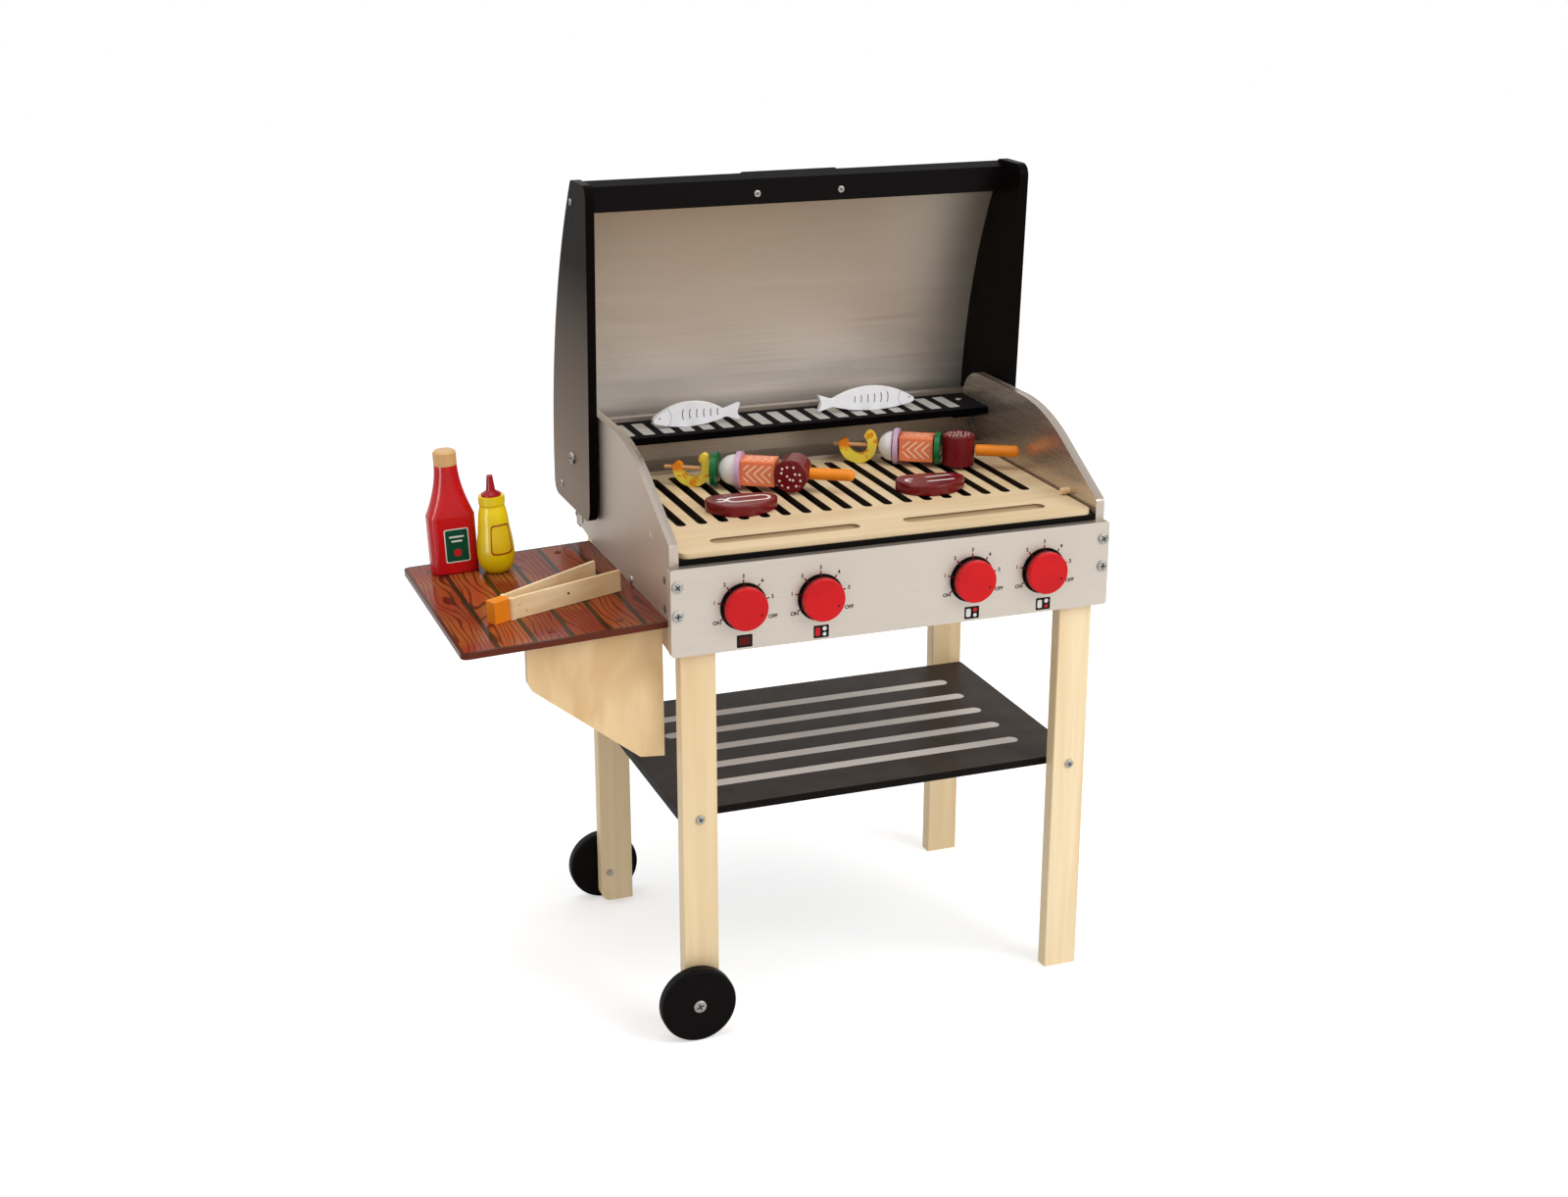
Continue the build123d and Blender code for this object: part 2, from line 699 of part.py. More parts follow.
# Handle: a bar standing off the rail's slanted back, with a finger slot
slant = degrees(atan2(back_low[0] - back_top[0], rail_back_z - rail_low))
handle_plane = Plane(
    origin=(shift_x + middle,
            shift_y + (back_top[0] + back_low[0]) / 2 + handle_drop * sin(radians(slant)),
            (back_top[1] + back_low[1]) / 2 - handle_drop * cos(radians(slant))),
    x_dir=(1, 0, 0), z_dir=(0, -cos(radians(slant)), -sin(radians(slant))))
with BuildPart() as lid_handle:
    with BuildSketch(handle_plane):
        RectangleRounded(2 * handle_half, handle_thick, 5.0)
    extrude(amount=-handle_reach)
    with BuildSketch(handle_plane):
        Rectangle(2 * handle_slot_half, handle_thick)
    extrude(amount=-handle_slot_depth, mode=Mode.SUBTRACT)
    outer_rim = lid_handle.edges().group_by(Axis.Y)[-1]
    chamfer(outer_rim, 2.0)
    with BuildSketch(upright(rail_face_y)):
        with Locations((middle - handle_screw_x, handle_screw_z),
                       (middle + handle_screw_x, handle_screw_z)):
            Circle(screw_radius + fit)
    extrude(amount=-(handle_reach + 12), mode=Mode.SUBTRACT)
save(lid_handle.part, "lid_handle", black)

# Batten inside the lid's lower end, which meets the rear panel when the lid is open
with BuildPart() as lid_rear_rail:
    with BuildSketch(sideways(skin_x)):
        with Locations((rear_rail_front + rear_rail_depth / 2,
                        skin_low + rear_rail_height / 2)):
            Rectangle(rear_rail_depth, rear_rail_height)
    extrude(amount=skin_width)
    for x, way in ((skin_x, 1), (plate_right, -1)):
        with BuildSketch(sideways(x)):
            with Locations(plate_screws[1]):
                Circle(screw_radius + fit)
        extrude(amount=way * (screw_depth + 1), mode=Mode.SUBTRACT)
save(lid_rear_rail.part, "lid_rear_rail", black)

# Screws in the lid: two through the front rail, and one into each end of both rails
with BuildPart() as lid_screws:
    with BuildSketch(upright(rail_face_y)):
        with Locations((middle - handle_screw_x, handle_screw_z),
                       (middle + handle_screw_x, handle_screw_z)):
            Circle(screw_radius)
    extrude(amount=-(handle_reach + 5))
    with BuildSketch(upright(rail_face_y - 0.9)):
        with Locations((middle - handle_screw_x, handle_screw_z),
                       (middle + handle_screw_x, handle_screw_z)):
            Circle(screw_head)
    extrude(amount=screw_head_thick)
    for x, way in ((plate_left, 1), (plate_right + board, -1)):
        with BuildSketch(sideways(x)):
            with Locations(*plate_screws):
                Circle(screw_radius)
        extrude(amount=way * (board + screw_depth))
        with BuildSketch(sideways(x)):
            with Locations(*plate_screws):
                Circle(screw_head)
        extrude(amount=-way * screw_head_thick)
save(lid_screws.part, "lid_screws", steel)

# Pivot bolts, with a nut inside each side panel
with BuildPart() as pivot_bolts:
    for x, way in ((plate_left, 1), (plate_right + board, -1)):
        with BuildSketch(sideways(x)):
            with Locations((pivot_y, pivot_z)):
                Circle(pivot_radius)
        extrude(amount=way * (board + lid_gap + board + 3.5))
        # Nut against the side panel's inner face
        with BuildSketch(sideways(x + way * (board + lid_gap + board))):
            with Locations((pivot_y, pivot_z)):
                Circle(pivot_radius + 1.4)
        extrude(amount=way * 3.0)
        with BuildSketch(sideways(x - way * seat)):
            with Locations((pivot_y, pivot_z)):
                Circle(pivot_head)
        extrude(amount=-way * (pivot_head_thick - seat))
        with BuildSketch(sideways(x)):
            with Locations((pivot_y, pivot_z)):
                Circle(pivot_radius)
        extrude(amount=-way * pivot_head_thick)
save(pivot_bolts.part, "pivot_bolts", steel)

# Spacers behind the wheels and between the side panels and the lid plates
with BuildPart() as spacers:
    for leg_face, way in ((board, 1), (rear_face, -1)):
        with BuildSketch(upright(leg_face)):
            with Locations((axle_x, wheel_radius)):
                Circle(spacer_radius)
                Circle(bolt_radius + fit, mode=Mode.SUBTRACT)
        extrude(amount=way * spacer_thick)
    for x, way in ((side_left, -1), (side_right, 1)):
        with BuildSketch(sideways(x)):
            with Locations((pivot_y, pivot_z)):
                Circle(spacer_radius)
                Circle(pivot_radius + fit, mode=Mode.SUBTRACT)
        extrude(amount=way * (lid_gap - seat))
save(spacers.part, "spacers", black)

# Side table, leaning down a little away from the grill; its own plane has local x
# along the slope from the side panel outwards (negative) and local z off its top
table_plane = Plane(origin=(shift_x + side_left, shift_y, table_top),
                    x_dir=(cos(droop), 0, sin(droop)), z_dir=(-sin(droop), 0, cos(droop)))


def on_table(height, x=0.0, y=0.0, turn=0.0):
    """Plane above the table's top, at a place on it, turned about its normal."""
    base = table_plane.offset(height)
    moved = Plane(origin=base.from_local_coords((x, y, 0)), x_dir=base.x_dir,
                  z_dir=base.z_dir)
    return moved.rotated((0, 0, turn))


table_middle = (table_front + table_rear) / 2

with BuildPart() as side_table:
    with BuildSketch(table_plane) as top:
        with Locations((-table_length / 2, table_middle)):
            RectangleRounded(table_length, table_rear - table_front, table_corner)
        # Square corners where the table meets the side panel
        with Locations((-table_corner - 0.2, table_middle)):
            Rectangle(2 * table_corner, table_rear - table_front)
    extrude(amount=-table_thick)
    # Trimmed plumb against the side panel
    with BuildSketch(sideways(side_left)):
        with Locations((table_middle, table_top)):
            Rectangle(table_rear, 10 * table_thick)
    extrude(amount=2 * table_corner, mode=Mode.SUBTRACT)
    for y in brackets:
        with BuildSketch(table_plane):
            with Locations(*[(-s, y + bracket_thick / 2) for s in table_screws]):
                Circle(screw_radius + fit)
        extrude(amount=-table_thick, mode=Mode.SUBTRACT)
save(side_table.part, "side_table", brown)

# Brackets under the table: plywood plates with a long slanted front edge
under = table_thick / cos(droop)
with BuildPart() as table_brackets:
    for y in brackets:
        with BuildSketch(upright(y + bracket_thick)):
            with BuildLine() as outline:
                Polyline((side_left, table_top - under), (side_left, bracket_low),
                         (side_left - bracket_foot, bracket_low + 2),
                         (side_left - bracket_reach + 4, bracket_outer_z - 4),
                         (side_left - bracket_reach, bracket_outer_z + 4),
                         (side_left - bracket_reach,
                          table_top - under - bracket_reach * tan(droop)), close=True)
            make_face()
            fillet(outline.vertices().sort_by(Axis.Y)[0:2].sort_by(Axis.X)[0],
                   bracket_fillet)
        extrude(amount=bracket_thick)
        with BuildSketch(table_plane):
            with Locations(*[(-s, y + bracket_thick / 2) for s in table_screws]):
                Circle(screw_radius + fit)
        extrude(amount=-(table_thick + screw_depth + 6), mode=Mode.SUBTRACT)
        with BuildSketch(sideways(side_left)):
            with Locations((y + bracket_thick / 2, bracket_screw_z)):
                Circle(screw_radius + fit)
        extrude(amount=-(screw_depth + 1), mode=Mode.SUBTRACT)
save(table_brackets.part, "table_brackets", birch)

# Wood screws with flat heads: in the table top and the rack's two ends, through the
# left side panel into the brackets, and one more on that panel's outer face
with BuildPart() as wood_screws:
    for y in brackets:
        with BuildSketch(table_plane):
            with Locations(*[(-s, y + bracket_thick / 2) for s in table_screws]):
                Circle(screw_radius)
        extrude(amount=-(table_thick + screw_depth))
        with BuildSketch(table_plane):
            with Locations(*[(-s, y + bracket_thick / 2) for s in table_screws]):
                Circle(screw_head)
        extrude(amount=1.0)
        with BuildSketch(sideways(inner_left)):
            with Locations((y + bracket_thick / 2, bracket_screw_z)):
                Circle(screw_radius)
        extrude(amount=-(board + screw_depth))
        with BuildSketch(sideways(inner_left)):
            with Locations((y + bracket_thick / 2, bracket_screw_z)):
                Circle(screw_head)
        extrude(amount=screw_head_thick)
    with BuildSketch(sideways(side_left)):
        with Locations((panel_screw_y, panel_screw_z)):
            Circle(screw_radius)
    extrude(amount=board)
    with BuildSketch(sideways(side_left)):
        with Locations((panel_screw_y, panel_screw_z)):
            Circle(screw_head)
    extrude(amount=-screw_head_thick)
    for x in rack_screws:
        with BuildSketch(level(rack_top)):
            with Locations((x, rear_face - rack_screw_rear)):
                Circle(screw_radius)
        extrude(amount=-(rack_thick + screw_depth))
        with BuildSketch(level(rack_top)):
            with Locations((x, rear_face - rack_screw_rear)):
                Circle(screw_head)
        extrude(amount=screw_head_thick)
save(wood_screws.part, "wood_screws", steel)

# Two flat wooden fish standing on the rack
low = rack_top + seat
for name, nose_x, length, way in (
    ("fish_left", 70.5, fish_left_length, 1),
    ("fish_right", 368.4, fish_right_length, -1),
):
    span = length - fish_tail
    root = nose_x + way * span
    with BuildPart() as fish:
        with BuildSketch(upright(rear_face - fish_inset + fish_thick)) as flat:
            with BuildLine():
                ThreePointArc((nose_x, low + 7), (nose_x + way * 0.5 * span, low + fish_height - 1),
                              (root, low + 14))
                ThreePointArc((nose_x, low + 7), (nose_x + way * 0.5 * span, low), (root, low + 7))
                Line((root, low + 14), (root, low + 7))
            make_face()
            fillet(flat.vertices().sort_by_distance((nose_x, low + 7))[0], 3.0)
            with BuildLine():
                tail = root - way * 3
                Polyline((tail, low + 8), (tail + way * 19, low + 3),
                         (tail + way * 16, low + 11), (tail + way * 19, low + 20),
                         (tail, low + 13.5), close=True)
            make_face()
        extrude(amount=fish_thick)
    save(fish.part, name, (0.95, 0.95, 0.95))

# Two kidney-shaped steaks lying on the grate, each with one smooth closed outline
steak_points = []
for step in range(12):
    a = 2 * pi * step / 12
    steak_points.append((steak_length / 2 * cos(a),
                         steak_width / 2 * (sin(a) * (1 - 0.16 * cos(a)) + 0.14 * cos(2 * a))))
for name, x, y, turn in (("steak_left", 115.0, 130.0, -4.0),
                         ("steak_right", 318.0, 133.0, -2.0)):
    with BuildPart() as steak:
        with BuildSketch(level(grate_top + seat, x, y).rotated((0, 0, turn))):
            with BuildLine():
                Spline(*steak_points, periodic=True)
            make_face()
        extrude(amount=steak_thick)
        fillet(steak.edges().group_by(Axis.Z)[-1], 2.0)
        fillet(steak.edges().group_by(Axis.Z)[0], 1.0)
    save(steak.part, name, (0.5, 0.1, 0.1))

# Skewers: each lies along its own plane, with local x from the tip to the handle
stick_z = grate_top + seat + lilac_radius


def skewer_frame(x, y, lift=0.0):
    """Plane at a skewer's tip with local x along the stick and z up."""
    return Plane(origin=(shift_x + x, shift_y + y, stick_z + lift),
                 x_dir=(cos(radians(stick_yaw)), sin(radians(stick_yaw)), 0),
                 z_dir=(0, 0, 1))


def across(frame, s):
    """Plane across a stick at a distance from its tip, facing along the stick."""
    return Plane(origin=frame.from_local_coords((s, 0, 0)), x_dir=frame.y_dir,
                 z_dir=frame.x_dir)


def facing(frame, s, side=0.0):
    """Plane along a stick, facing its side, with local x along it and y up."""
    return Plane(origin=frame.from_local_coords((s, side, 0)), x_dir=frame.x_dir,
                 z_dir=-frame.y_dir)


hole = stick_radius + fit
shrimp_arc = CenterArc((0, shrimp_outer - lilac_radius), (shrimp_outer + shrimp_inner) / 2,
                       180, 220)
skewers = (
    # name, handle's end, mushroom's depth, play between pieces, order from the handle
    ("left", 238.2, 182.4, 19.5, 0.3,
     ("salami", "salmon", "lilac", "dome", "green", "shrimp")),
    ("right", inner_right - 5.8, 156.4, 15.0, 1.6,
     ("salami", "green", "salmon", "lilac", "dome", "shrimp")),
)
for side_name, end_x, end_inset, mushroom_depth, food_gap, order in skewers:
    tip_x = end_x - stick_length * cos(radians(stick_yaw))
    tip_y = rear_face - end_inset - stick_length * sin(radians(stick_yaw))
    frame = skewer_frame(tip_x, tip_y)
    # Where each piece of food begins along the stick, worked out from the handle
    lengths = {"salami": 2 * salami_radius, "salmon": salmon_length, "lilac": lilac_thick,
               "dome": mushroom_depth, "green": green_thick, "shrimp": 2 * shrimp_outer}
    begins = {}
    reached = stick_length - stick_grip
    for food in order:
        reached -= lengths[food] + food_gap
        begins[food] = reached
    with BuildPart() as stick:
        with BuildSketch(across(frame, 0)):
            Circle(stick_radius)
        extrude(amount=stick_length - stick_grip + 12)
        chamfer(stick.edges().filter_by(GeomType.CIRCLE), 0.5)
    save(stick.part, "stick_" + side_name, (0.85, 0.65, 0.4))

    with BuildPart() as grip:
        with BuildSketch(across(frame, stick_length - stick_grip)):
            Circle(grip_radius)
        extrude(amount=stick_grip)
        fillet(grip.edges().filter_by(GeomType.CIRCLE).sort_by_distance(
            frame.from_local_coords((stick_length, 0, 0)))[0], 4.5)
        with BuildSketch(across(frame, stick_length - stick_grip)):
            Circle(hole)
        extrude(amount=12.5, mode=Mode.SUBTRACT)
    save(grip.part, "handle_" + side_name, (0.95, 0.5, 0.1))

    # Shrimp: an open ring with rounded ends, pierced through its rear arm
    with BuildPart() as shrimp:
        with BuildSketch(facing(frame, begins["shrimp"] + shrimp_outer, shrimp_thick / 2)):
            SlotArc(shrimp_arc, shrimp_outer - shrimp_inner)
        extrude(amount=shrimp_thick)
        with BuildSketch(across(frame, -1)):
            Circle(hole)
        extrude(amount=stick_length, mode=Mode.SUBTRACT)
    save(shrimp.part, "shrimp_" + side_name, (0.95, 0.85, 0.35))

    # Two ring slices and a domed mushroom
    with BuildPart() as garnish:
        for s, radius, thick in ((begins["green"], green_radius, green_thick),
                                 (begins["lilac"], lilac_radius, lilac_thick)):
            with BuildSketch(across(frame, s)):
                Circle(radius)
                Circle(hole, mode=Mode.SUBTRACT)
            extrude(amount=thick)
        with BuildSketch(facing(frame, begins["dome"] + mushroom_depth)):
            with BuildLine():
                ThreePointArc((0, mushroom_radius),
                              (-mushroom_depth * 0.72, mushroom_radius * 0.7),
                              (-mushroom_depth, hole))
                Line((-mushroom_depth, hole), (0, hole))
                Line((0, hole), (0, mushroom_radius))
            make_face()
        revolve(axis=Axis(frame.origin, frame.x_dir))
    save(garnish.part, "garnish_" + side_name, (0.9, 0.85, 0.9))

    with BuildPart() as salmon:
        with BuildSketch(across(frame, begins["salmon"])):
            Rectangle(salmon_side, salmon_side)
        extrude(amount=salmon_length)
        fillet(salmon.edges().filter_by(lambda e: e.length > salmon_length - 1), 1.5)
        with BuildSketch(across(frame, begins["salmon"])):
            Circle(hole)
        extrude(amount=salmon_length, mode=Mode.SUBTRACT)
    save(salmon.part, "salmon_" + side_name, (0.93, 0.55, 0.38))

    with BuildPart() as salami:
        if side_name == "left":
            with BuildSketch(facing(frame, begins["salami"] + salami_radius,
                                    salami_length / 2)):
                Circle(salami_radius)
            extrude(amount=salami_length)
        else:
            base = skewer_frame(tip_x, tip_y, -salami_length / 2)
            with BuildSketch(base):
                with Locations((begins["salami"] + salami_radius, 0)):
                    Circle(salami_radius)
            extrude(amount=salami_length)
        chamfer(salami.edges().filter_by(GeomType.CIRCLE), 0.8)
        with BuildSketch(across(frame, begins["salami"] - salami_radius)):
            Circle(hole)
        extrude(amount=4 * salami_radius, mode=Mode.SUBTRACT)
    save(salami.part, "salami_" + side_name, (0.5, 0.12, 0.12))

# Ketchup bottle: a rounded oblong body drawn in to a round neck, with a cap
ketchup_at = (ketchup_side_inset - table_length, table_rear - ketchup_rear_inset)
ketchup_top = ketchup_body + ketchup_shoulder + ketchup_neck
with BuildPart() as ketchup:
    with BuildSketch(on_table(seat, *ketchup_at)):
        RectangleRounded(ketchup_width, ketchup_depth, ketchup_depth / 3)
    extrude(amount=ketchup_body)
    fillet(ketchup.edges().group_by(Axis.Z)[0], 1.5)
    with BuildSketch(on_table(seat + ketchup_body, *ketchup_at)):
        RectangleRounded(ketchup_width, ketchup_depth, ketchup_depth / 3)
    with BuildSketch(on_table(seat + ketchup_body + ketchup_shoulder, *ketchup_at)):
        RectangleRounded(37.0, 25.5, 11.5)
    with BuildSketch(on_table(seat + ketchup_body + 2 * ketchup_shoulder, *ketchup_at)):
        RectangleRounded(29.0, 24.0, 11.6)
    with BuildSketch(on_table(seat + ketchup_top, *ketchup_at)):
        RectangleRounded(23.0, 22.5, 11.2)
    loft()
save(ketchup.part, "ketchup_bottle", red)

with BuildPart() as ketchup_cap:
    with BuildSketch(on_table(seat + ketchup_top, *ketchup_at)):
        Circle(11.5)
    extrude(amount=ketchup_cap_height)
    chamfer(ketchup_cap.edges().filter_by(GeomType.CIRCLE).group_by(Axis.Z)[-1], 2.0)
save(ketchup_cap.part, "ketchup_cap", (0.9, 0.9, 0.88))

# Mustard bottle: turned pear shape with a pointed nozzle on a short collar
mustard_at = (mustard_side_inset - table_length, table_rear - mustard_rear_inset)
mustard_top = mustard_body + mustard_collar
stand = on_table(seat, *mustard_at)
profile = Plane(origin=stand.origin, x_dir=stand.x_dir, z_dir=-stand.y_dir)
spin = Axis(stand.origin, stand.z_dir)
with BuildPart() as mustard:
    with BuildSketch(profile):
        with BuildLine():
            Line((0, 0), (mustard_foot, 0))
            Spline((mustard_foot, 0), (mustard_radius, 0.3 * mustard_body),
                   (mustard_upper, 0.71 * mustard_body), (mustard_waist, mustard_body),
                   tangents=[(1, 0.6), (-0.3, 1)])
            Line((mustard_waist, mustard_body), (mustard_rim, mustard_body + mustard_groove))
            Line((mustard_rim, mustard_body + mustard_groove), (mustard_rim, mustard_top))
            Line((mustard_rim, mustard_top), (0, mustard_top))
            Line((0, mustard_top), (0, 0))
        make_face()
    revolve(axis=spin)
save(mustard.part, "mustard_bottle", (0.95, 0.75, 0.15))

with BuildPart() as mustard_nozzle:
    with BuildSketch(profile):
        with BuildLine():
            Polyline((0, mustard_top), (nozzle_base, mustard_top),
                     (nozzle_base, mustard_top + nozzle_step),
                     (nozzle_root, mustard_top + nozzle_step + nozzle_slope),
                     (nozzle_tip, mustard_top + mustard_nozzle_height),
                     (0, mustard_top + mustard_nozzle_height), close=True)
        make_face()
    revolve(axis=spin)
save(mustard_nozzle.part, "mustard_nozzle", red)

# Tongs: a block with two arms, each turning on a round bead at the block's end
tongs_at = (-tong_reach, table_front + tong_inset)
grip_frame = on_table(seat, *tongs_at, turn=tong_yaw)
with BuildPart() as tongs_block:
    with BuildSketch(grip_frame):
        with Locations((-tong_block_length / 2, 0)):
            Rectangle(tong_block_length, tong_block_width)
        with Locations((0, -tong_block_width / 2), (0, tong_block_width / 2)):
            Circle(tong_bead + run, mode=Mode.SUBTRACT)
    extrude(amount=tong_height)
save(tongs_block.part, "tongs_block", (0.95, 0.5, 0.1))

for name, way in (("tongs_arm_front", -1), ("tongs_arm_rear", 1)):
    with BuildPart() as arm:
        with BuildSketch(grip_frame):
            with Locations((0, way * tong_block_width / 2)):
                Circle(tong_bead)
            tilt = radians(way * tong_splay)
            with Locations(Location((cos(tilt) * tong_length / 2,
                                     way * tong_block_width / 2
                                     + sin(tilt) * tong_length / 2, 0),
                                    way * tong_splay)):
                Rectangle(tong_length, tong_thick)
        extrude(amount=tong_height)
    save(arm.part, name, (0.55, 0.3, 0.2))
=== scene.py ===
import bpy
import bmesh
from math import cos, radians, sin
from mathutils import Matrix, Vector


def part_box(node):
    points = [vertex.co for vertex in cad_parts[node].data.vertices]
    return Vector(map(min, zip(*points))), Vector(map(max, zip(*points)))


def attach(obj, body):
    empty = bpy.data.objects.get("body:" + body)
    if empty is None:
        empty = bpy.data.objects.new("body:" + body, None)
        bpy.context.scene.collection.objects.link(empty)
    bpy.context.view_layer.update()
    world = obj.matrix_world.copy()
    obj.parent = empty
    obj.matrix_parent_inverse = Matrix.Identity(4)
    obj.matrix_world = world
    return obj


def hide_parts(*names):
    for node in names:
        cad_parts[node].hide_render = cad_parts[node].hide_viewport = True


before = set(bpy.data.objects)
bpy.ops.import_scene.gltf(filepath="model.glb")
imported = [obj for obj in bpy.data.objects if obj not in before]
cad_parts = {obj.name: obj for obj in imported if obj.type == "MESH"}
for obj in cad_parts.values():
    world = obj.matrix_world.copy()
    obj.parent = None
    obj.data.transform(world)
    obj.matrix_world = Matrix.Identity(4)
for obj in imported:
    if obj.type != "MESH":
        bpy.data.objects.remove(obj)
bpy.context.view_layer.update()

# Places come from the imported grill: millimetres from the front panel's left end and
# front face, with z up from the floor, as on the toy itself.
panel_low, panel_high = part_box("front_panel")
left_end = panel_low[0]
front_face = panel_low[1]


def at(x, y, z):
    """A point in metres from millimetres on the grill."""
    return Vector((left_end + x / 1000, front_face + y / 1000, z / 1000))


middle = 225.0
middle_x = at(middle, 0, 0).x
panel_middle = (panel_low[2] + panel_high[2]) * 500
outer_knob, inner_knob = 154.5, 78.0
knob_places = [("knob_outer_left", middle - outer_knob), ("knob_inner_left", middle - inner_knob),
               ("knob_inner_right", middle + inner_knob),
               ("knob_outer_right", middle + outer_knob)]

# Metres from the grill's middle: halfway through a side panel, and just inside the outer
# face of a lid plate
half_through_panel, near_plate_face = 0.2185, 0.2342


# Shader helpers
def add(tree, kind, **settings):
    new = tree.nodes.new(kind)
    for key, value in settings.items():
        setattr(new, key, value)
    return new


def feed(tree, socket, value):
    if isinstance(value, bpy.types.NodeSocket):
        tree.links.new(value, socket)
    else:
        socket.default_value = value


def calc(tree, operation, *values, clamp=False):
    """A maths node's result."""
    new = add(tree, "ShaderNodeMath", operation=operation, use_clamp=clamp)
    for socket, value in zip(new.inputs, values):
        feed(tree, socket, value)
    return new.outputs[0]


def vector_calc(tree, operation, *values):
    new = add(tree, "ShaderNodeVectorMath", operation=operation)
    for socket, value in zip(new.inputs, values):
        feed(tree, socket, value)
    return new.outputs["Value"] if operation in ("DOT_PRODUCT", "LENGTH") else new.outputs[0]


def mix(tree, factor, first, second):
    new = add(tree, "ShaderNodeMix", data_type="RGBA")
    feed(tree, new.inputs["Factor"], factor)
    feed(tree, new.inputs["A"], first)
    feed(tree, new.inputs["B"], second)
    return new.outputs["Result"]


def noise(tree, vector, scale=1.0, detail=3.0, distortion=0.0):
    new = add(tree, "ShaderNodeTexNoise")
    feed(tree, new.inputs["Vector"], vector)
    new.inputs["Scale"].default_value = scale
    new.inputs["Detail"].default_value = detail
    new.inputs["Distortion"].default_value = distortion
    return new.outputs["Fac"]


def ramp(tree, factor, low, high):
    """Factor stretched so that low becomes 0 and high becomes 1."""
    new = add(tree, "ShaderNodeMapRange", clamp=True)
    feed(tree, new.inputs["Value"], factor)
    new.inputs["From Min"].default_value = low
    new.inputs["From Max"].default_value = high
    return new.outputs["Result"]


def parts_of(tree, vector):
    split = add(tree, "ShaderNodeSeparateXYZ")
    feed(tree, split.inputs[0], vector)
    return split.outputs[0], split.outputs[1], split.outputs[2]


def facing_of(tree):
    """The surface's direction, as x, y and z parts."""
    return parts_of(tree, add(tree, "ShaderNodeTexCoord").outputs["Normal"])


def within(tree, value, centre, reach):
    """1 where a value is no further than reach from centre."""
    return calc(tree, "COMPARE", value, centre, reach)


def minus(tree, first, second):
    return calc(tree, "SUBTRACT", first, second)


def times(tree, *values):
    """The product of values or masks."""
    product = values[0]
    for value in values[1:]:
        product = calc(tree, "MULTIPLY", product, value)
    return product


def apart(tree, value, centre):
    """How far a value is from a centre, either way."""
    return calc(tree, "ABSOLUTE", minus(tree, value, centre))


def beside(tree, first, second, centre):
    """Distance of a point in a plane from a centre."""
    dx = minus(tree, first, centre[0])
    dy = minus(tree, second, centre[1])
    squares = calc(tree, "ADD", times(tree, dx, dx), times(tree, dy, dy))
    return calc(tree, "SQRT", squares)


def millimetres(tree, value, start, way=1.0):
    """A coordinate in metres as millimetres from a start."""
    return times(tree, minus(tree, value, start), 1000.0 * way)


def measured(tree, place, start, *ways):
    """Millimetres from a start along each of some directions."""
    away = vector_calc(tree, "SUBTRACT", place, tuple(start))
    away = vector_calc(tree, "MULTIPLY", away, (1000.0, 1000.0, 1000.0))
    return [vector_calc(tree, "DOT_PRODUCT", away, way) for way in ways]


def colour(red, green, blue):
    """A linear colour from the 0-255 values seen on screen."""
    linear = []
    for value in (red, green, blue):
        value /= 255
        linear.append(value / 12.92 if value <= 0.04045 else ((value + 0.055) / 1.055) ** 2.4)
    return (*linear, 1.0)


def group(name, inputs, outputs):
    """A new shader group, with what comes into it and what it gives."""
    tree = bpy.data.node_groups.new(name, "ShaderNodeTree")
    for kind, label, value in inputs:
        socket = tree.interface.new_socket(label, in_out="INPUT",
                                           socket_type="NodeSocket" + kind)
        if value is not None:
            socket.default_value = value
    for kind, label in outputs:
        tree.interface.new_socket(label, in_out="OUTPUT", socket_type="NodeSocket" + kind)
    return tree, add(tree, "NodeGroupInput").outputs, add(tree, "NodeGroupOutput").inputs


# Wood grain: long streaks between two tones with fine fibres
wood_tree, given, result = group(
    "Wood grain",
    [("Vector", "Vector", None), ("Vector", "Stretch", (40, 40, 2.5)), ("Color", "Light", None),
     ("Color", "Dark", None), ("Float", "Swirl", 0.6)],
    [("Color", "Color"), ("Float", "Height")])
long_way = vector_calc(wood_tree, "MULTIPLY", given["Vector"], given["Stretch"])
broad = add(wood_tree, "ShaderNodeTexNoise")
feed(wood_tree, broad.inputs["Vector"], long_way)
feed(wood_tree, broad.inputs["Distortion"], given["Swirl"])
broad.inputs["Scale"].default_value = 0.8
fibres = noise(wood_tree, vector_calc(wood_tree, "MULTIPLY", long_way, (12, 12, 5)), 1.0, 4)
streak = ramp(wood_tree, broad.outputs["Fac"], 0.35, 0.68)
tone = mix(wood_tree, streak, given["Light"], given["Dark"])
fleck = times(wood_tree, ramp(wood_tree, fibres, 0.52, 0.75), 0.35)
feed(wood_tree, result["Color"], mix(wood_tree, fleck, tone, given["Dark"]))
feed(wood_tree, result["Height"], minus(wood_tree, 1.0, fibres))

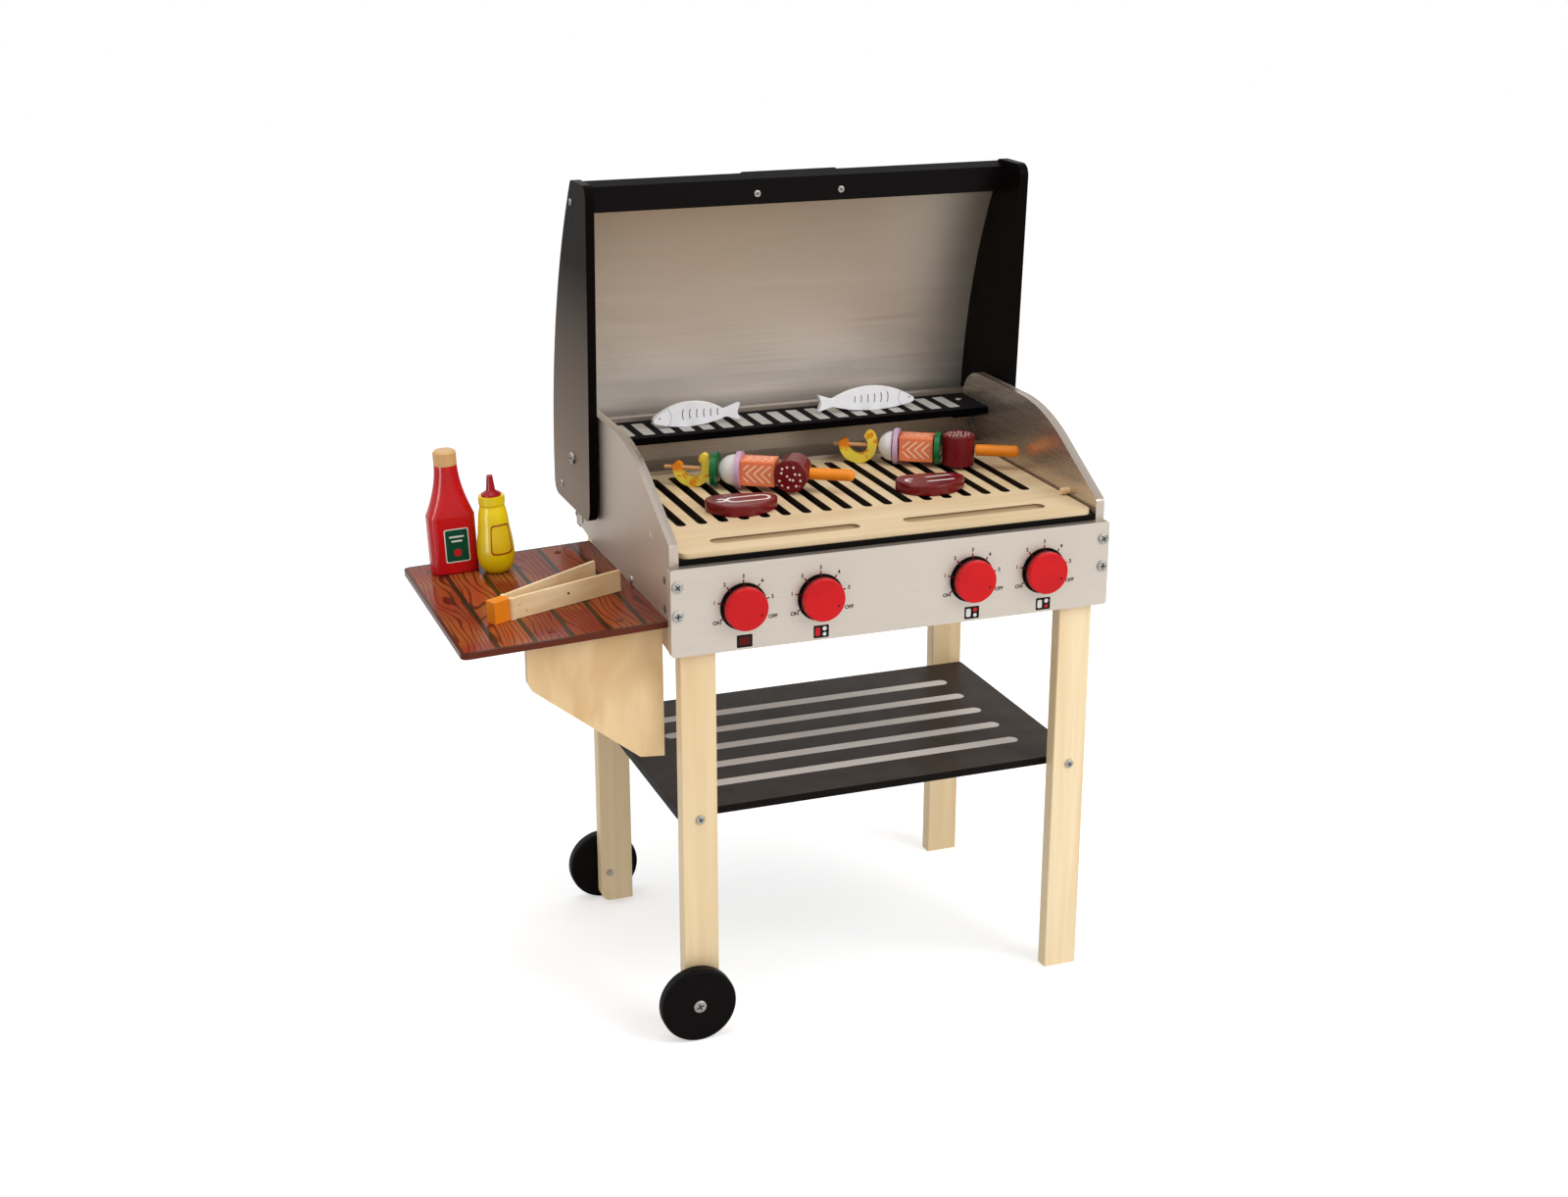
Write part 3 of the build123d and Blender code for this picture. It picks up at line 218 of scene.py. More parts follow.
# Brushed finish: hair lines along one way, with a slow cloudy change of tone
brush_tree, given, result = group(
    "Brushed finish",
    [("Vector", "Vector", None), ("Vector", "Stretch", (6, 900, 900)), ("Color", "Light", None),
     ("Color", "Dark", None), ("Float", "Dullness", 0.28)],
    [("Color", "Color"), ("Float", "Height"), ("Float", "Roughness")])
drawn_out = vector_calc(brush_tree, "MULTIPLY", given["Vector"], given["Stretch"])
lines = noise(brush_tree, drawn_out, 1.0, 2)
cloud = noise(brush_tree, given["Vector"], 5.0, 2)
mixed = calc(brush_tree, "ADD", times(brush_tree, lines, 0.55), times(brush_tree, cloud, 0.45))
tone = mix(brush_tree, ramp(brush_tree, mixed, 0.3, 0.7), given["Dark"], given["Light"])
feed(brush_tree, result["Color"], tone)
feed(brush_tree, result["Height"], lines)
dullness = calc(brush_tree, "ADD", given["Dullness"], times(brush_tree, lines, 0.25))
feed(brush_tree, result["Roughness"], dullness)

# Painted finish: faint mottling, a slight orange peel and dulled patches
paint_tree, given, result = group(
    "Painted finish",
    [("Vector", "Vector", None), ("Color", "Paint", None), ("Float", "Gloss", 0.3)],
    [("Color", "Color"), ("Float", "Height"), ("Float", "Roughness")])
mottle = noise(paint_tree, given["Vector"], 30.0, 3)
peel = noise(paint_tree, given["Vector"], 450.0, 2)
darker = add(paint_tree, "ShaderNodeHueSaturation")
darker.inputs["Value"].default_value = 0.86
feed(paint_tree, darker.inputs["Color"], given["Paint"])
patchy = ramp(paint_tree, mottle, 0.4, 0.75)
feed(paint_tree, result["Color"], mix(paint_tree, patchy, given["Paint"], darker.outputs[0]))
feed(paint_tree, result["Height"], peel)
dullness = calc(paint_tree, "ADD", given["Gloss"], times(paint_tree, mottle, 0.18))
feed(paint_tree, result["Roughness"], dullness)

# Rows of stripes, evenly spaced across and centred along. Their ends are round, unless a
# smaller corner is given
rows_tree, given, result = group(
    "Rounded stripes",
    [("Float", "Across", 0.0), ("Float", "Along", 0.0), ("Float", "First", 0.0),
     ("Float", "Last", 1.0), ("Float", "Pitch", 0.1), ("Float", "Half length", 0.1),
     ("Float", "Radius", 0.005), ("Float", "Corner", 1.0)],
    [("Float", "Mask")])
fade = 0.0006    # metres over which a painted edge fades
past_first = minus(rows_tree, given["Across"], given["First"])
steps = calc(rows_tree, "ROUND", calc(rows_tree, "DIVIDE", past_first, given["Pitch"]))
steps = calc(rows_tree, "MAXIMUM", steps, 0.0)
steps = calc(rows_tree, "MINIMUM", steps, given["Last"])
aside = apart(rows_tree, past_first, times(rows_tree, steps, given["Pitch"]))
corner = calc(rows_tree, "MINIMUM", given["Corner"], given["Radius"])
straight = minus(rows_tree, given["Radius"], corner)
aside = calc(rows_tree, "MAXIMUM", minus(rows_tree, aside, straight), 0.0)
full_length = calc(rows_tree, "ADD", given["Half length"], straight)
beyond = minus(rows_tree, calc(rows_tree, "ABSOLUTE", given["Along"]), full_length)
beyond = calc(rows_tree, "MAXIMUM", beyond, 0.0)
distance = beside(rows_tree, aside, beyond, (0.0, 0.0))
edge = calc(rows_tree, "DIVIDE", minus(rows_tree, corner, distance), fade)
feed(rows_tree, result["Mask"], calc(rows_tree, "ADD", edge, 0.5, clamp=True))


def material(name, roughness=0.4, metallic=0.0, coat=0.0, gloss_level=0.5):
    """A new material, its node tree, its shader and its object coordinates."""
    new = bpy.data.materials.new(name)
    new.use_nodes = True
    tree = new.node_tree
    shader = tree.nodes["Principled BSDF"]
    shader.inputs["Roughness"].default_value = roughness
    shader.inputs["Metallic"].default_value = metallic
    shader.inputs["Coat Weight"].default_value = coat
    shader.inputs["Coat Roughness"].default_value = 0.14
    shader.inputs["Specular IOR Level"].default_value = gloss_level
    place = add(tree, "ShaderNodeTexCoord").outputs["Object"]
    return new, tree, shader, place


def place_group(tree, which, **values):
    new = add(tree, "ShaderNodeGroup", node_tree=which)
    for label, value in values.items():
        feed(tree, new.inputs[label.replace("_", " ")], value)
    return new.outputs


def relief(tree, shader, height, strength, depth=0.0004):
    bump = add(tree, "ShaderNodeBump")
    bump.inputs["Strength"].default_value = strength
    bump.inputs["Distance"].default_value = depth
    feed(tree, bump.inputs["Height"], height)
    feed(tree, shader.inputs["Normal"], bump.outputs["Normal"])


def dress(tree, shader, tone, look, strength):
    """Gives a shader its colour, and the roughness and relief of a finish."""
    feed(tree, shader.inputs["Base Color"], tone)
    feed(tree, shader.inputs["Roughness"], look["Roughness"])
    relief(tree, shader, look["Height"], strength, 0.0002)


def wooden(name, light, dark, stretch, roughness=0.42, swirl=0.6, coat=0.15):
    new, tree, shader, place = material(name, roughness, coat=coat)
    grain = place_group(tree, wood_tree, Vector=place, Stretch=stretch, Light=light,
                        Dark=dark, Swirl=swirl)
    feed(tree, shader.inputs["Base Color"], grain["Color"])
    relief(tree, shader, grain["Height"], 0.12)
    return new


def brushed(name, light, dark, stretch, metallic, top_edge_shade=None):
    """Brushed silver, with painted shade: a darker tone where the board's edge faces up."""
    new, tree, shader, place = material(name, metallic=metallic)
    brush = place_group(tree, brush_tree, Vector=place, Stretch=stretch, Light=light, Dark=dark)
    tone = brush["Color"]
    if top_edge_shade:
        tone = mix(tree, calc(tree, "GREATER_THAN", facing_of(tree)[2], 0.5), tone, top_edge_shade)
    dress(tree, shader, tone, brush, 0.04)
    return new


def paint_over(tree, shader, place, paint, gloss=0.3):
    """A painted surface whose paint is one colour or a pattern."""
    coatings = place_group(tree, paint_tree, Vector=place, Paint=paint, Gloss=gloss)
    dress(tree, shader, coatings["Color"], coatings, 0.06)


def painted(name, paint, gloss=0.3, coat=0.0, gloss_level=0.15):
    new, tree, shader, place = material(name, coat=coat, gloss_level=gloss_level)
    paint_over(tree, shader, place, paint, gloss)
    return new


def finish(look, *names):
    """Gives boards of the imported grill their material."""
    for name in names:
        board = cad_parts[name]
        if not board.material_slots:
            board.data.materials.append(look)
        for slot in board.material_slots:
            slot.material = look


black_paint = painted("black paint", colour(12, 9, 8), 0.3, gloss_level=0.07)
birch_leg = wooden("birch leg", colour(250, 228, 187), colour(232, 198, 147), (38, 38, 2.0))
birch_ply = wooden("birch plywood", colour(246, 215, 165), colour(224, 183, 128), (13, 13, 5),
                   swirl=2.2)
tongs_wood = wooden("tongs wood", colour(254, 232, 188), colour(238, 203, 150), (8, 50, 50))
cap_wood = wooden("bare cap wood", colour(230, 184, 122), colour(206, 156, 96), (30, 30, 8))
stick_wood = wooden("stick wood", colour(226, 172, 108), colour(196, 138, 78), (12, 12, 12))
# Front board: its up-facing top edge gets a grey as painted shade
silver_across = brushed("silver board, brushed across", colour(217, 207, 195),
                        colour(203, 192, 180), (14, 1500, 1500), 0.6, colour(140, 131, 122))

# Side panels: brushed along, duller outside, with painted shade: a greyer silver on the up-facing
# curved edge
silver_along, tree, shader, place = material("silver board, brushed along", metallic=0.85)
x, y, z = parts_of(tree, place)
outside = calc(tree, "GREATER_THAN", apart(tree, x, middle_x), half_through_panel)
brush = place_group(tree, brush_tree, Vector=place, Stretch=(900, 7, 900),
                    Light=colour(208, 195, 182), Dark=colour(200, 187, 174),
                    Dullness=calc(tree, "ADD", 0.15, times(tree, outside, 0.2)))
facing = facing_of(tree)
crown_shade = times(tree, calc(tree, "LESS_THAN", calc(tree, "ABSOLUTE", facing[0]), 0.5),
              ramp(tree, facing[2], 0.1, 0.4))
dress(tree, shader, mix(tree, crown_shade, brush["Color"], colour(168, 157, 147)), brush, 0.022)

# Rear board: its up-facing top edge gets a grey as painted shade
silver_rear = brushed("silver board behind the grate", colour(190, 177, 163),
                      colour(166, 153, 140), (7, 900, 900), 0.9, colour(150, 141, 132))
silver_ledge = brushed("silver ledge", colour(190, 177, 163), colour(166, 153, 140),
                       (7, 900, 900), 0.9)
steel = brushed("bolt steel", colour(200, 198, 194), colour(140, 137, 132), (300, 300, 300), 0.95)
# Dark paint for the faces inside a bolt's cross recess: painted shade
recess_shade_steel = painted("steel in a recess", colour(58, 55, 52), 0.4, gloss_level=0.3)
dowel_steel = brushed("cross dowel steel", colour(150, 146, 140), colour(96, 92, 88),
                      (300, 300, 300), 0.9)
orange_paint = painted("orange paint", colour(246, 142, 24), 0.26, 0.3, 0.1)
table_screw_paint = painted("screw heads in table brown", colour(120, 58, 38), 0.35)
ink_black = painted("black ink", colour(22, 16, 15), 0.5)
ink_red = painted("dark red ink", colour(132, 22, 26), 0.5)
ink_bright = painted("red ink", colour(206, 30, 40), 0.5)
ink_white = painted("white ink", colour(226, 222, 216), 0.5)
label_green = painted("label green", colour(10, 78, 56), 0.25)
label_white = painted("label white", colour(232, 236, 226), 0.3)

# Grate: pale board whose cut edges are scorched dark in the slots and tan in the grooves
grate_wood, tree, shader, place = material("grate board", 0.42, coat=0.1)
grain = place_group(tree, wood_tree, Vector=place, Stretch=(3, 45, 45),
                    Light=colour(234, 211, 172), Dark=colour(220, 190, 146), Swirl=0.6)
x, y, z = parts_of(tree, place)
grate_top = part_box("grate")[1][2]
slots_y, slots_half_length, slots_half_width = at(0, 180.5, 0).y, 0.0870, 0.190
grooves_y, grooves_half_width, grooves_half_length = at(0, 40, 0).y, 0.0086, 0.180
upright_face = calc(tree, "LESS_THAN", calc(tree, "ABSOLUTE", facing_of(tree)[2]), 0.5)
in_slots = times(tree, within(tree, y, slots_y, slots_half_length),
                 within(tree, x, middle_x, slots_half_width))
in_grooves = times(tree, within(tree, y, grooves_y, grooves_half_width),
                   within(tree, x, middle_x, grooves_half_length))
groove_floor = times(tree, in_grooves, calc(tree, "LESS_THAN", z, grate_top - 0.0022))
shallow = calc(tree, "GREATER_THAN", z, grate_top - 0.0014)
wood = mix(tree, groove_floor, grain["Color"], colour(178, 152, 116))
wood = mix(tree, times(tree, in_grooves, upright_face), wood, colour(170, 144, 108))
wood = mix(tree, times(tree, in_grooves, upright_face, shallow), wood, colour(104, 82, 56))
wood = mix(tree, times(tree, in_slots, upright_face), wood, colour(46, 33, 24))
feed(tree, shader.inputs["Base Color"], wood)
relief(tree, shader, grain["Height"], 0.12)

# Knobs: red gloss paint with a dark pointer dot near the rim, so far right and down, and painted
# shade that darkens the side towards the panel
dot_right, dot_down = 13.6, 6.4
knob_looks = {}
for name, across in knob_places:
    look_name = "red paint, " + name.replace("_", " ")
    knob_looks[name], tree, shader, place = material(look_name, gloss_level=0.2)
    x, y, z = parts_of(tree, place)
    foot_shade = ramp(tree, y, at(0, -10.0, 0).y, at(0, -3.5, 0).y)
    red = mix(tree, foot_shade, colour(208, 16, 24), colour(34, 6, 8))
    dot_at = at(across + dot_right, 0, panel_middle - dot_down)
    dot = ramp(tree, beside(tree, x, z, (dot_at.x, dot_at.z)), 0.0014, 0.0010)
    paint_over(tree, shader, place, mix(tree, dot, red, colour(92, 8, 12)), 0.26)

# Lower shelf: pale round-ended stripes on dark paint
shelf_paint, tree, shader, place = material("shelf paint", 0.22, gloss_level=0.05)
x, y, z = parts_of(tree, place)
stripes = place_group(tree, rows_tree, Across=y,
                      Along=minus(tree, x, at(middle + 2, 0, 0).x),
                      First=at(0, 78, 0).y, Last=4.0, Pitch=0.0441, Half_length=0.163,
                      Radius=0.0072)["Mask"]
top_layer = 0.0004    # metres of a board's top that count as its upper face
up = calc(tree, "GREATER_THAN", z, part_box("lower_shelf")[1][2] - top_layer)
base = place_group(tree, paint_tree, Vector=place, Paint=colour(62, 51, 43), Gloss=0.3)
side = mix(tree, up, colour(20, 16, 14), base["Color"])
dress(tree, shader, mix(tree, times(tree, stripes, up), side, colour(240, 230, 222)), base, 0.05)

# Warming rack: painted stripes across it, black edges
rack_paint, tree, shader, place = material("rack paint", 0.25, gloss_level=0.0)
x, y, z = parts_of(tree, place)
rack_low, rack_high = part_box("warming_rack")
stripes = place_group(tree, rows_tree, Across=x,
                      Along=minus(tree, y, (rack_low[1] + rack_high[1]) / 2),
                      First=at(42.6, 0, 0).x, Last=17.0, Pitch=0.0213,
                      Half_length=0.0178, Radius=0.0062, Corner=0.0018)["Mask"]
up = calc(tree, "GREATER_THAN", z, rack_high[2] - top_layer)
top_coat = mix(tree, up, colour(10, 8, 8), colour(34, 32, 33))
tone = mix(tree, times(tree, stripes, up), top_coat, colour(188, 184, 179))
paint_over(tree, shader, place, tone, 0.34)

# Lid skin: brushed bronze, with painted shade that darkens it towards the front rail
skin_sheet, tree, shader, place = material("lid skin", metallic=0.88)
x, y, z = parts_of(tree, place)
skin_low, skin_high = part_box("lid_skin")
brush = place_group(tree, brush_tree, Vector=place, Stretch=(6, 700, 700),
                    Light=colour(246, 239, 230), Dark=colour(232, 224, 214),
                    Dullness=0.32)
lid_shade_to_top = ramp(tree, z, skin_low[2] + 0.12, skin_high[2])
dress(tree, shader, mix(tree, lid_shade_to_top, brush["Color"], colour(192, 181, 166)), brush, 0.02)

# Lid plates: brushed bronze on their outer faces, black on their edges and inside; painted shade
# darkens the bronze, and takes away its metal, towards the top
plate_look, tree, shader, place = material("lid plate", gloss_level=0.02)
x, y, z = parts_of(tree, place)
plate_low, plate_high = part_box("lid_side_left")
brush = place_group(tree, brush_tree, Vector=place, Stretch=(900, 900, 6),
                    Light=colour(149, 130, 113), Dark=colour(134, 116, 100))
lid_shade_to_top = ramp(tree, z, plate_low[2] + 0.03, plate_high[2] - 0.08)
bronze = mix(tree, lid_shade_to_top, brush["Color"], colour(22, 18, 15))
outside = calc(tree, "GREATER_THAN", apart(tree, x, middle_x), near_plate_face)
black_side = place_group(tree, paint_tree, Vector=place, Paint=colour(12, 9, 8), Gloss=0.3)
feed(tree, shader.inputs["Metallic"], times(tree, outside, ramp(tree, lid_shade_to_top, 0.9, 0.0), 0.6))
dress(tree, shader, mix(tree, outside, black_side["Color"], bronze), brush, 0.025)

# Side table: planks running front to back, dark joints, drawn grain, a brown border and
# edges, and shade beside the grill
table_print, tree, shader, place = material("table print", 0.16, gloss_level=0.07)
x, y, z = parts_of(tree, place)
table_low, table_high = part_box("side_table")
plank_width, border_width, shade_width = 0.0346, 0.0035, 0.085
plank = calc(tree, "DIVIDE", minus(tree, x, table_low[0]), plank_width)
number = calc(tree, "FLOOR", plank)
across = minus(tree, plank, number)
on_plank = calc(tree, "LESS_THAN", apart(tree, across, 0.5), 0.43)
tint = add(tree, "ShaderNodeTexWhiteNoise", noise_dimensions="1D")
feed(tree, tint.inputs["W"], number)
wave = add(tree, "ShaderNodeCombineXYZ")
feed(tree, wave.inputs[0], times(tree, x, 30.0))
feed(tree, wave.inputs[1], times(tree, y, 8.0))
feed(tree, wave.inputs[2], times(tree, number, 7.3))
swirls = times(tree, noise(tree, wave.outputs[0], 1.0, 1.0, 0.2), 7.0)
rings = calc(tree, "ADD", times(tree, x, 150.0), swirls)
bands = calc(tree, "FRACT", rings)
drawn = ramp(tree, apart(tree, bands, 0.5), 0.16, 0.06)
wood = mix(tree, tint.outputs["Value"], colour(176, 78, 38), colour(128, 44, 28))
cloud = ramp(tree, noise(tree, place, 16.0, 2), 0.45, 0.7)
wood = mix(tree, cloud, wood, colour(158, 92, 42))
wood = mix(tree, times(tree, drawn, 0.8), wood, colour(64, 18, 12))
shaded = times(tree, ramp(tree, x, table_high[0] - shade_width, table_high[0]), 0.6)
wood = mix(tree, shaded, wood, colour(58, 18, 10))
wood = mix(tree, on_plank, colour(60, 40, 22), wood)
nearest = calc(tree, "MINIMUM", minus(tree, y, table_low[1]), minus(tree, table_high[1], y))
nearest = calc(tree, "MINIMUM", minus(tree, x, table_low[0]), nearest)
wood = mix(tree, calc(tree, "LESS_THAN", nearest, border_width), wood, colour(84, 48, 34))
level = calc(tree, "GREATER_THAN", facing_of(tree)[2], 0.5)
feed(tree, shader.inputs["Base Color"], mix(tree, level, colour(98, 46, 32), wood))
relief(tree, shader, drawn, 0.1, 0.0002)


# Play food. Each skewer's own measure runs in millimetres from its tip to its handle
turn = radians(-31.0)
stick_way = (cos(turn), sin(turn), 0.0)
stick_aside = (-sin(turn), cos(turn), 0.0)
tips = {"left": at(71.05, 242.03, 512.8), "right": at(266.05, 268.03, 512.8)}
begins = {"left": {"shrimp": 9.6, "green": 49.9, "lilac": 75.5, "salmon": 80.8, "salami": 116.1},
          "right": {"shrimp": 6.3, "green": 107.7, "lilac": 64.5, "salmon": 71.1,
                    "salami": 114.8}}


def skewer_paint(kind, hand, coat=0.0, gloss_level=0.1):
    """A skewer piece's own paint, with the millimetres along its stick, aside and above."""
    look, tree, shader, place = material(kind + " paint " + hand, coat=coat,
                                         gloss_level=gloss_level)
    finish(look, kind + "_" + hand)
    on_stick = measured(tree, place, tips[hand], stick_way, stick_aside, (0.0, 0.0, 1.0))
    return tree, shader, place, *on_stick


def dots(tree, first, second, cell, radius):
    """Round dots scattered over a flat face, spaced about a cell apart."""
    flat = add(tree, "ShaderNodeCombineXYZ")
    feed(tree, flat.inputs[0], calc(tree, "DIVIDE", first, cell))
    feed(tree, flat.inputs[1], calc(tree, "DIVIDE", second, cell))
    cells = add(tree, "ShaderNodeTexVoronoi", voronoi_dimensions="2D")
    feed(tree, cells.inputs["Vector"], flat.outputs[0])
    cells.inputs["Scale"].default_value = 1.0
    cells.inputs["Randomness"].default_value = 0.75
    return ramp(tree, cells.outputs["Distance"], radius + 0.03, radius - 0.03)


# Millimetres on the skewers' pieces
salami_half, salami_face, spots_reach = 16.8, 15.1, 13.4
salmon_half, marked_half, marked_reach = 17.5, 14.0, 9.0
chevron_pitch, chevron_lean, hot_end_length = 7.6, 1.1, 11.0
green_half, lilac_half = 2.75, 2.5

for hand in ("left", "right"):
    start = begins[hand]

    # Salami: deep red with pale dots on the two cut faces
    tree, shader, place, along, aside, above = skewer_paint("salami", hand, coat=0.3)
    if hand == "left":
        second, cut, cell, dot_size = above, aside, 6.4, 0.19
    else:
        second, cut, cell, dot_size = aside, above, 3.8, 0.25
    on_cut = calc(tree, "GREATER_THAN", calc(tree, "ABSOLUTE", cut), salami_face)
    reached = beside(tree, along, second, (start["salami"] + salami_half, 0.0))
    near = calc(tree, "LESS_THAN", reached, spots_reach)
    spots = times(tree, dots(tree, along, second, cell, dot_size), on_cut, near)
    tone = mix(tree, spots, colour(112, 14, 24), colour(246, 232, 222))
    paint_over(tree, shader, place, tone, 0.28)

    # Salmon: pink block with pale chevrons that point to the tip
    tree, shader, place, along, aside, above = skewer_paint("salmon", hand, gloss_level=0.15)
    on_top = calc(tree, "GREATER_THAN", calc(tree, "ABSOLUTE", facing_of(tree)[2]), 0.5)
    upright = minus(tree, 1.0, on_top)
    over = calc(tree, "ADD", times(tree, on_top, aside), times(tree, upright, above))
    over = calc(tree, "ABSOLUTE", over)
    lean = minus(tree, along, times(tree, over, chevron_lean))
    phase = calc(tree, "FRACT", calc(tree, "DIVIDE", lean, chevron_pitch))
    lines = times(tree, ramp(tree, apart(tree, phase, 0.5), 0.15, 0.10),
                  within(tree, along, start["salmon"] + salmon_half, marked_half),
                  calc(tree, "LESS_THAN", over, marked_reach))
    tone = mix(tree, lines, colour(238, 132, 88), colour(254, 222, 196))
    paint_over(tree, shader, place, tone, 0.34)

    # Shrimp: yellow with orange patches, and an orange end where the stick goes in
    tree, shader, place, along, aside, above = skewer_paint("shrimp", hand, coat=0.3)
    patches = ramp(tree, noise(tree, place, 110.0, 1, 0.6), 0.56, 0.61)
    hot_end = times(tree, calc(tree, "LESS_THAN", along, start["shrimp"] + hot_end_length),
                    ramp(tree, above, -5.0, -1.0))
    patches = calc(tree, "MAXIMUM", times(tree, patches, 0.85), hot_end)
    tone = mix(tree, patches, colour(250, 224, 80), colour(242, 138, 28))
    paint_over(tree, shader, place, tone, 0.26)

    # Slices and mushroom: green ring, lilac ring, white dome
    tree, shader, place, along, aside, above = skewer_paint("garnish", hand, coat=0.3)
    tone = mix(tree, noise(tree, place, 60.0, 2), colour(250, 248, 247), colour(228, 222, 219))
    green = within(tree, along, start["green"] + green_half, green_half + 0.25)
    lilac = within(tree, along, start["lilac"] + lilac_half, lilac_half + 0.2)
    tone = mix(tree, green, tone, colour(6, 104, 52))
    tone = mix(tree, lilac, tone, colour(206, 166, 196))
    paint_over(tree, shader, place, tone, 0.26)
    finish(stick_wood, "stick_" + hand)

# Fish: white, with an eye, a gill and rows of short curved strokes in grey
fish_foot, fish_half_height, stroke_pitch, stroke_bow = 540.8, 13.0, 7.6, 0.03
for name, nose_x, way in (("fish_left", 70.5, 1.0), ("fish_right", 368.4, -1.0)):
    look_name = "white paint, " + name.replace("_", " ")
    fish_look, tree, shader, place = material(look_name, gloss_level=0.35)
    x, y, z = parts_of(tree, place)
    nose = at(nose_x, 0, fish_foot)
    back = millimetres(tree, x, nose.x, way)
    up = millimetres(tree, z, nose.z)
    from_middle = minus(tree, up, fish_half_height)
    bowed = minus(tree, back, times(tree, from_middle, from_middle, stroke_bow))
    phase = calc(tree, "FRACT", calc(tree, "DIVIDE", bowed, stroke_pitch))
    strokes = ramp(tree, apart(tree, phase, 0.5), 0.09, 0.05)
    taper = minus(tree, 7.5, times(tree, back, 0.055))
    strokes = times(tree, strokes, within(tree, back, 52.0, 22.0),
                    calc(tree, "LESS_THAN", calc(tree, "ABSOLUTE", from_middle), taper))
    eye = ramp(tree, beside(tree, back, up, (9.5, 10.5)), 1.1, 0.8)
    gill = within(tree, beside(tree, back, up, (9.0, 11.0)), 13.0, 0.35)
    gill = times(tree, gill, calc(tree, "GREATER_THAN", back, 18.5))
    marks = calc(tree, "MAXIMUM", strokes, times(tree, gill, 0.6))
    marks = calc(tree, "MAXIMUM", eye, marks)
    tone = mix(tree, marks, colour(251, 251, 255), colour(84, 88, 110))
    paint_over(tree, shader, place, tone, 0.28)
    finish(fish_look, name)

# Steaks: deep red, with pale outlines drawn on the top, so wide in millimetres
outline_width = 2.8
steak_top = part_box("steak_left")[1][2]
for name, across, back_ in (("steak_left", 115.0, 130.0), ("steak_right", 318.0, 133.0)):
    look_name = "red paint, " + name.replace("_", " ")
    steak_look, tree, shader, place = material(look_name, coat=0.4, gloss_level=0.1)
    x, y, z = parts_of(tree, place)
    centre = at(across, back_, 0)
    outline = None
    for along_, over_, half, reach in ((6.0, -2.0, 14.0, 9.0), (-22.0, 0.0, 1.0, 5.5)):
        ring = [place_group(tree, rows_tree, Across=minus(tree, y, centre.y),
                            Along=minus(tree, x, centre.x + along_ / 1000),
                            First=over_ / 1000, Last=0.0, Pitch=1.0, Half_length=half / 1000,
                            Radius=radius / 1000)["Mask"]
                for radius in (reach, reach - outline_width)]
        band = calc(tree, "SUBTRACT", ring[0], ring[1], clamp=True)
        outline = band if outline is None else calc(tree, "MAXIMUM", outline, band)
    top = calc(tree, "GREATER_THAN", z, steak_top - 0.0003)
    broken = ramp(tree, noise(tree, place, 30.0, 0), 0.30, 0.34)
    outline = times(tree, outline, top, broken)
    tone = mix(tree, outline, colour(112, 12, 20), colour(250, 238, 236))
    paint_over(tree, shader, place, tone, 0.2)
    finish(steak_look, name)

# Mustard: bright yellow with an outlined shield on the front
droop = radians(2.4)
table_origin = at(2.0, 0, 429.2)


def on_table(x, y, height):
    """A point in metres from millimetres on the leaning table: out along it, back, above."""
    return table_origin + Vector((x * cos(droop) - height * sin(droop), y,
                                  x * sin(droop) + height * cos(droop))) / 1000


mustard_look, tree, shader, place = material("mustard yellow", coat=0.5, gloss_level=0.1)
foot = on_table(-109.0, 233.5, 0.3)
over, height, depth = measured(tree, place, foot, (cos(droop), 0.0, sin(droop)),
                               (-sin(droop), 0.0, cos(droop)), (0.0, 1.0, 0.0))
shield_aside, shield_up, shield_half_height, squareness = 3.0, 36.0, 14.5, 7.0
shield_half_width, shield_taper = 12.6, 0.07
narrowed = minus(tree, shield_half_width, times(tree, height, shield_taper))
side_by = calc(tree, "DIVIDE", apart(tree, over, shield_aside), narrowed)
rise = calc(tree, "DIVIDE", apart(tree, height, shield_up), shield_half_height)
rise = calc(tree, "POWER", rise, squareness)
reached = calc(tree, "ADD", calc(tree, "POWER", side_by, squareness), rise)
front_side = calc(tree, "LESS_THAN", depth, 0.0)
frame_line = times(tree, within(tree, reached, 1.0, 0.42), front_side)
panel_inside = times(tree, calc(tree, "LESS_THAN", reached, 0.86), front_side)
glow = times(tree, panel_inside, ramp(tree, height, 60.0, 20.0))
glow = times(tree, glow, 0.45)
yellow = mix(tree, glow, colour(255, 224, 10), colour(255, 184, 36))
paint_over(tree, shader, place, mix(tree, frame_line, yellow, colour(176, 92, 20)), 0.28)
finish(mustard_look, "mustard_bottle")

ketchup_paint = painted("ketchup red", colour(206, 12, 22), 0.2, 0.5, 0.1)
nozzle_paint = painted("nozzle red", colour(168, 10, 30), 0.2, 0.4, 0.1)
finish(ketchup_paint, "ketchup_bottle")
finish(nozzle_paint, "mustard_nozzle")
finish(cap_wood, "ketchup_cap")
finish(tongs_wood, "tongs_arm_front", "tongs_arm_rear")
finish(orange_paint, "handle_left", "handle_right", "tongs_block")

